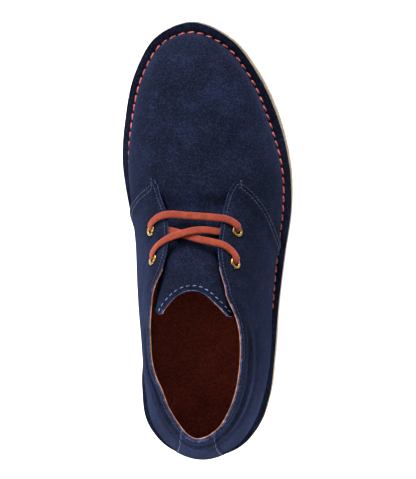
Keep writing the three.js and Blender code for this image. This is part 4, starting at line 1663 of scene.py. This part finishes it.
def smooth_through(values, steps):
    """A Catmull-Rom curve through rows of values."""
    values = np.asarray(values, float)
    padded = np.concatenate([2 * values[:1] - values[1:2], values, 2 * values[-1:] - values[-2:-1]])
    t = (np.arange(steps) / steps)[:, None]
    parts = []
    for p0, p1, p2, p3 in zip(padded, padded[1:], padded[2:], padded[3:]):
        parts.append(0.5 * (2 * p1 + (p2 - p0) * t + (2 * p0 - 5 * p1 + 4 * p2 - p3) * t ** 2
                            + (3 * p1 - p0 - 3 * p2 + p3) * t ** 3))
    return np.concatenate([*parts, values[-1:]])


class BOOT_OT_lace(bpy.types.Operator):
    """One flat lace through the four eyelets, its ends tucked inside"""

    bl_idname = "boot.lace"
    bl_label = "Lace"

    def execute(self, context):
        settings = context.scene.boot
        xs, ys, lifts = (np.array([step[i] for step in LACE_RUN], float) for i in range(3))
        knots = over(xs, ys, lifts)
        normals = top_normal(xs, ys)
        ups, sizes = [], []
        for step, normal in zip(LACE_RUN, normals):
            if HOLE in step:
                sizes.append((HOLE_WIDTH, HOLE_THICKNESS))
                ups.append(np.array([0.0, -1.0, 0.0]) + normal * normal[1])
            else:
                sizes.append((settings.lace_width, settings.lace_thickness))
                ups.append(-normal if step[2] < TURNED_OVER else normal)
        path = smooth_through(knots, LACE_STEPS)
        up = smooth_through(self.untwisted(knots, ups), LACE_STEPS)
        size = smooth_through(sizes, LACE_STEPS)
        points, faces, across = self.ribbon(path, up, size)
        piece = make_piece("lace", points, faces, [finish("lace")],
                           replaces=["lace_bar", "lace_crossing"], sharp=ROUND_WORK)
        self.unwrap(piece.data, path, across)
        return {"FINISHED"}

    def untwisted(self, knots, ups):
        """Keeps the lace's face from turning over between two places."""
        tangents = np.gradient(knots, axis=0)
        kept = []
        for tangent, up in zip(tangents, ups):
            tangent = tangent / np.linalg.norm(tangent)
            flat = up - tangent * np.dot(up, tangent)
            flat /= max(np.linalg.norm(flat), 1e-6)
            if kept and np.dot(flat, kept[-1]) < -0.2:
                flat = -flat
            kept.append(flat)
        return np.array(kept)

    def ribbon(self, path, up, size):
        tangent = np.gradient(path, axis=0)
        tangent /= np.linalg.norm(tangent, axis=1, keepdims=True)
        side = np.cross(tangent, up)
        side /= np.linalg.norm(side, axis=1, keepdims=True)
        out = np.cross(side, tangent)
        angles = np.arange(LACE_SIDES) * 2 * math.pi / LACE_SIDES
        across = np.sign(np.cos(angles)) * np.abs(np.cos(angles)) ** 0.55
        through = np.sign(np.sin(angles)) * np.abs(np.sin(angles)) ** 0.8
        across = across * size[:, :1] / 2
        through = through * size[:, 1:] / 2
        rings = path[:, None] + side[:, None] * across[..., None] + out[:, None] * through[..., None]
        points = rings.reshape(-1, 3)
        faces = [face[::-1] for face in grid_faces(len(path), LACE_SIDES, closed=True)]
        faces.append(tuple(range(LACE_SIDES)))
        faces.append(tuple(reversed(range(len(points) - LACE_SIDES, len(points)))))
        return points, faces, across

    def unwrap(self, mesh, path, across):
        """UVs in millimetres along and across the lace."""
        layer = mesh.uv_layers.new(name="lace")
        run = np.repeat(run_of(path), LACE_SIDES)
        across = across.ravel()
        for loop in mesh.loops:
            layer.data[loop.index].uv = (run[loop.vertex_index], across[loop.vertex_index])


# ---------------------------------------------------------------------------------------
# Stitches
# ---------------------------------------------------------------------------------------
def stitch_tree():
    """Lays a small arched thread at even steps along a line, square to the leather."""
    tree = bpy.data.node_groups.new("stitches", "GeometryNodeTree")
    face = tree.interface
    face.new_socket("Geometry", in_out="INPUT", socket_type="NodeSocketGeometry")
    for name in ("Pitch", "Length", "Thickness", "Bow"):
        face.new_socket(name, in_out="INPUT", socket_type="NodeSocketFloat")
    face.new_socket("Thread", in_out="INPUT", socket_type="NodeSocketMaterial")
    face.new_socket("Geometry", in_out="OUTPUT", socket_type="NodeSocketGeometry")
    given = add(tree, "NodeGroupInput").outputs

    def times(socket, factor):
        node = add(tree, "ShaderNodeMath", {0: socket, 1: factor}, operation="MULTIPLY")
        return node.outputs[0]

    def corner(along_share, height):
        return add(tree, "ShaderNodeCombineXYZ", {
            "X": times(given["Length"], along_share),
            "Y": times(given["Length"], along_share * 0.12),
            "Z": height,
        }).outputs[0]

    sunk = times(given["Thickness"], -0.55)
    bow = given["Bow"]
    segment = add(tree, "GeometryNodeCurvePrimitiveBezierSegment", {
        "Resolution": 6,
        "Start": corner(-0.5, sunk),
        "Start Handle": corner(-0.42, bow),
        "End Handle": corner(0.42, bow),
        "End": corner(0.5, sunk),
    }, mode="POSITION")
    ring = add(tree, "GeometryNodeCurvePrimitiveCircle", {
        "Resolution": 8, "Radius": times(given["Thickness"], 0.5)}, mode="RADIUS")
    thread = add(tree, "GeometryNodeCurveToMesh", {
        "Curve": segment.outputs[0], "Profile Curve": ring.outputs[0], "Fill Caps": True})
    line = add(tree, "GeometryNodeMeshToCurve", {"Mesh": given["Geometry"]})
    steps = add(tree, "GeometryNodeResampleCurve", {"Curve": line.outputs[0], "Length": given["Pitch"]},
                mode="LENGTH")
    up = add(tree, "GeometryNodeInputNamedAttribute", {"Name": "up"}, data_type="FLOAT_VECTOR")
    tangent = add(tree, "GeometryNodeInputTangent")
    turn = add(tree, "FunctionNodeAxesToRotation", {0: up.outputs["Attribute"], 1: tangent.outputs[0]},
               primary_axis="Z", secondary_axis="X")
    stretch = add(tree, "FunctionNodeRandomValue", {
        "Min": (0.9, 0.92, 0.9), "Max": (1.04, 1.08, 1.1), "Seed": 3}, data_type="FLOAT_VECTOR")
    laid = add(tree, "GeometryNodeInstanceOnPoints", {
        "Points": steps.outputs[0],
        "Instance": thread.outputs[0],
        "Rotation": turn.outputs[0],
        "Scale": stretch.outputs[0],
    })
    real = add(tree, "GeometryNodeRealizeInstances", {"Geometry": laid.outputs[0]})
    dyed = add(tree, "GeometryNodeSetMaterial", {"Geometry": real.outputs[0], "Material": given["Thread"]})
    output = add(tree, "NodeGroupOutput")
    tree.links.new(dyed.outputs[0], output.inputs[0])
    return tree


def sew(name, lines, tree, material, slot, **sizes):
    """Stitches along lines of (points, normals) as one piece. Sizes are in millimetres."""
    mesh = bpy.data.meshes.new(name)
    points, edges, ups = [], [], []
    for places, normals in lines:
        start = len(points)
        points.extend(((np.asarray(places) + SHIFT) * MM).tolist())
        ups.extend(np.asarray(normals).tolist())
        edges.extend((i, i + 1) for i in range(start, len(points) - 1))
    mesh.from_pydata(points, edges, [])
    mesh.attributes.new("up", "FLOAT_VECTOR", "POINT").data.foreach_set("vector", np.array(ups).ravel())
    guide = bpy.data.objects.new(name, mesh)
    bpy.context.scene.collection.objects.link(guide)
    modifier = guide.modifiers.new("stitches", "NODES")
    modifier.node_group = tree
    sockets = {item.name: item.identifier for item in tree.interface.items_tree
               if item.item_type == "SOCKET" and item.in_out == "INPUT"}
    for key, value in sizes.items():
        modifier[sockets[key.capitalize()]] = value * MM
    modifier[sockets["Thread"]] = material
    graph = bpy.context.evaluated_depsgraph_get()
    sewn = bpy.data.meshes.new_from_object(guide.evaluated_get(graph))
    guide.modifiers.clear()
    bpy.data.objects.remove(guide)
    bpy.data.meshes.remove(mesh)
    sewn.name = name
    return finish_piece(name, sewn, sharp=ALL_ROUND)


def even(points, normals, step=1.0):
    """Evenly spaced, lightly smoothed points along a line."""
    run = run_of(points)
    at = np.linspace(0, run[-1], max(int(run[-1] / step), 4))
    places = np.stack([np.interp(at, run, points[:, i]) for i in range(3)], -1)
    ups = np.stack([np.interp(at, run, normals[:, i]) for i in range(3)], -1)
    for _ in range(3):
        places[1:-1] = (places[:-2] + 2 * places[1:-1] + places[2:]) / 4
    return places, ups / np.linalg.norm(ups, axis=1, keepdims=True)


def beside(points, normals, inset, toward):
    """A line moved over the leather by an inset, to the side on which a place lies."""
    tangent = np.gradient(points, axis=0)
    across = np.cross(normals, tangent)
    across /= np.linalg.norm(across, axis=1, keepdims=True)
    middle = len(points) // 3
    sign = math.copysign(1.0, float(np.dot(across[middle], np.asarray(toward) - points[middle])))
    return points + across * inset * sign


def quarter_edge(side):
    """A quarter's edge from the foot of its front seam, round its tip and back to the heel."""
    _, top, _, seam = quarter_borders(side)
    t = np.linspace(0, 1, 300)
    place = np.concatenate([seam(t), top(1 - t)[1:]])
    return plan_of(place), last_normal(place[:, 0], place[:, 1]), len(t)


# Share of its pitch that a stitch fills, and how far it stands up.
TOP_STITCH, TOP_BOW = 0.78, 0.24
SOLE_STITCH, SOLE_BOW = 0.7, 0.5
TONGUE_INSET = 3.2
TONGUE_STITCHES = {"pitch": 4.0, "length": 2.3, "thickness": 0.56, "bow": 0.3}
CLEAR_OF_RIM = 1.5  # the rows start this far above the rim


class BOOT_OT_stitches(bpy.types.Operator):
    """Every row of stitching: sole, quarters, heel strip and tongue"""

    bl_idname = "boot.stitches"
    bl_label = "Stitches"

    def execute(self, context):
        settings = context.scene.boot
        tree = stitch_tree()
        self.sole_row(tree, settings)
        small = {"pitch": settings.top_pitch, "length": settings.top_pitch * TOP_STITCH,
                 "thickness": settings.top_thread, "bow": TOP_BOW}
        thread = finish("navy thread")
        for side, word in ((OUTSIDE, "outside"), (INSIDE, "inside")):
            sheet = surface_tree(f"quarter_{word}")
            points, normals, corner = quarter_edge(side)
            toward = (0.0, -20.0, 40.0)
            first = beside(points, normals, ROW_INSET, toward)
            second = beside(points[:corner], normals[:corner], SECOND_ROW, toward)
            clear_of_sole = first[:, 2] > foot_z(first[:, 1]) + CLEAR_OF_RIM
            clear_of_strip = ~((np.abs(first[:, 0]) < 14) & (first[:, 1] < -120))
            clear_of_edge = distances(first, points) > 0.93 * ROW_INSET
            keep = clear_of_sole & clear_of_strip & clear_of_edge
            rows = [even(first[keep], normals[keep])]
            keep = second[:, 2] > foot_z(second[:, 1]) + CLEAR_OF_RIM
            keep &= distances(second, points[corner:]) > ROW_INSET + 1.6
            rows.append(even(second[keep], normals[:corner][keep]))
            rows = [(lay_on(sheet, p, n), n) for p, n in rows]
            sew(f"topstitch_{word}", rows, tree, thread, "suede", **small)
        self.strip_rows(tree, thread, small)
        self.tongue_row(tree)
        return {"FINISHED"}

    def sole_row(self, tree, settings):
        """Along the turned-out rim, round the toe from waist to waist."""
        points = sole_row()
        points, normals = even(points, np.tile((0.0, 0.0, 1.0), (len(points), 1)))
        sheets = surface_tree("quarter_outside", "quarter_inside", "vamp_and_tongue")
        sew("sole_stitch", [(lay_on(sheets, points, normals, 1.6), normals)], tree,
            finish("rust thread"), "lace_cord", pitch=settings.sole_pitch,
            length=settings.sole_pitch * SOLE_STITCH, thickness=settings.sole_thread, bow=SOLE_BOW)

    def strip_rows(self, tree, thread, small):
        _, _, back, front = strip_borders()
        sheet = surface_tree("heel_strip")
        rows = []
        b = np.linspace(0.05, 0.985, 120)
        for border in (back, front):
            place = border(b)
            points, normals = plan_of(place), last_normal(place[:, 0], place[:, 1])
            line = beside(points, normals, STRIP_INSET, (-2.0, -146.0, 60.0))
            line, normals = even(line, normals)
            rows.append((lay_on(sheet, line, normals), normals))
        sew("topstitch_heel", rows, tree, thread, "suede", **small)

    def tongue_row(self, tree):
        """Pale stitches that hold the lining along the tongue's free end."""
        t = np.linspace(0.1, 0.9, 120)
        normals = top_normal(*tongue_place(np.ones_like(t), t)[:2])
        line = beside(tongue_point(np.ones_like(t), t), normals, TONGUE_INSET, (-4.0, 0.0, 80.0))
        line, normals = even(line, normals)
        line = lay_on(surface_tree("vamp_and_tongue"), line, normals)
        sew("tongue_stitch", [(line, normals)], tree, finish("pale thread"), "suede", **TONGUE_STITCHES)


# Soft lamps, aimed at the boot: name, place in metres, power.
LIGHTS = (
    ("key", (-0.95, 0.35, 0.95), 13.0),
    ("toe_light", (-0.1, 1.45, 0.5), 68.0),
    ("heel_light", (-0.1, -1.45, 0.55), 72.0),
)
LIGHT_SIZE = 0.7
FLOOR_HALF = 6.0
CAMERA_AIM = (0.5, -0.34, 10.0)  # in mm
SENSOR_WIDTH = 36.0


class BOOT_OT_stage(bpy.types.Operator):
    """Floor, camera and lights"""

    bl_idname = "boot.stage"
    bl_label = "Stage"

    def execute(self, context):
        settings = context.scene.boot_stage
        scene = context.scene
        self.make_floor(scene, settings)
        self.make_camera(scene, settings)
        scene.view_settings.view_transform = "Standard"
        world = bpy.data.worlds.new("studio")
        scene.world = world
        world.use_nodes = True
        background = world.node_tree.nodes["Background"]
        background.inputs["Color"].default_value = (1, 1, 1, 1)
        background.inputs["Strength"].default_value = settings.background
        for name, place, power in LIGHTS:
            self.make_light(scene, name, place, power)
        return {"FINISHED"}

    def make_floor(self, scene, settings):
        mesh = bpy.data.meshes.new("floor")
        half = FLOOR_HALF
        corners = [(-half, -half, 0), (half, -half, 0), (half, half, 0), (-half, half, 0)]
        mesh.from_pydata(corners, [], [(0, 1, 2, 3)])
        floor = bpy.data.objects.new("floor", mesh)
        scene.collection.objects.link(floor)
        material, tree = blank_material("white painted floor")
        surface(tree, {
            "Base Color": (*settings.floor_colour, 1.0),
            "Roughness": 0.9,
            "Specular IOR Level": 0.1,
        })
        mesh.materials.append(material)

    def make_camera(self, scene, settings):
        data = bpy.data.cameras.new("camera")
        camera = bpy.data.objects.new("camera", data)
        scene.collection.objects.link(camera)
        aim = Vector(CAMERA_AIM) * MM
        roll = Matrix.Rotation(settings.camera_roll, 3, "Y")
        turn = roll @ Matrix.Rotation(-settings.camera_pitch, 3, "X")
        camera.location = aim + turn @ Vector((0, 0, settings.camera_distance - aim.z))
        camera.rotation_euler = turn.to_euler()
        data.sensor_width = SENSOR_WIDTH
        data.lens = data.sensor_width * (settings.camera_distance - aim.z) / settings.view_height
        scene.camera = camera

    def make_light(self, scene, name, place, power):
        data = bpy.data.lights.new(name, "AREA")
        data.shape = "DISK"
        data.size = LIGHT_SIZE
        data.energy = power
        light = bpy.data.objects.new(name, data)
        scene.collection.objects.link(light)
        light.location = place
        light.rotation_euler = Vector(place).to_track_quat("Z", "Y").to_euler()


STEPS = (
    BOOT_OT_sole,
    BOOT_OT_insole,
    BOOT_OT_vamp,
    BOOT_OT_quarters,
    BOOT_OT_heel_strip,
    BOOT_OT_eyelets,
    BOOT_OT_lace,
    BOOT_OT_stitches,
    BOOT_OT_stage,
)


class BOOT_PT_panel(bpy.types.Panel):
    """Lists the steps that make the boot"""

    bl_idname = "BOOT_PT_panel"
    bl_label = "Chukka Boot"
    bl_space_type = "VIEW_3D"
    bl_region_type = "UI"
    bl_category = "Chukka Boot"

    def draw(self, context):
        for group in (context.scene.boot, context.scene.boot_colours, context.scene.boot_stage):
            for name in group.__annotations__:
                self.layout.prop(group, name)
        for step in STEPS:
            self.layout.operator(step.bl_idname)


CLASSES = (BootSettings, ColourSettings, StageSettings, *STEPS, BOOT_PT_panel)


def register():
    for cls in CLASSES:
        bpy.utils.register_class(cls)
    bpy.types.Scene.boot = PointerProperty(type=BootSettings)
    bpy.types.Scene.boot_colours = PointerProperty(type=ColourSettings)
    bpy.types.Scene.boot_stage = PointerProperty(type=StageSettings)


def unregister():
    del bpy.types.Scene.boot_stage
    del bpy.types.Scene.boot_colours
    del bpy.types.Scene.boot
    for cls in reversed(CLASSES):
        bpy.utils.unregister_class(cls)


def main():
    register()
    for step in STEPS:
        group, name = step.bl_idname.split(".")
        getattr(getattr(bpy.ops, group), name)()


if __name__ == "__main__":
    main()
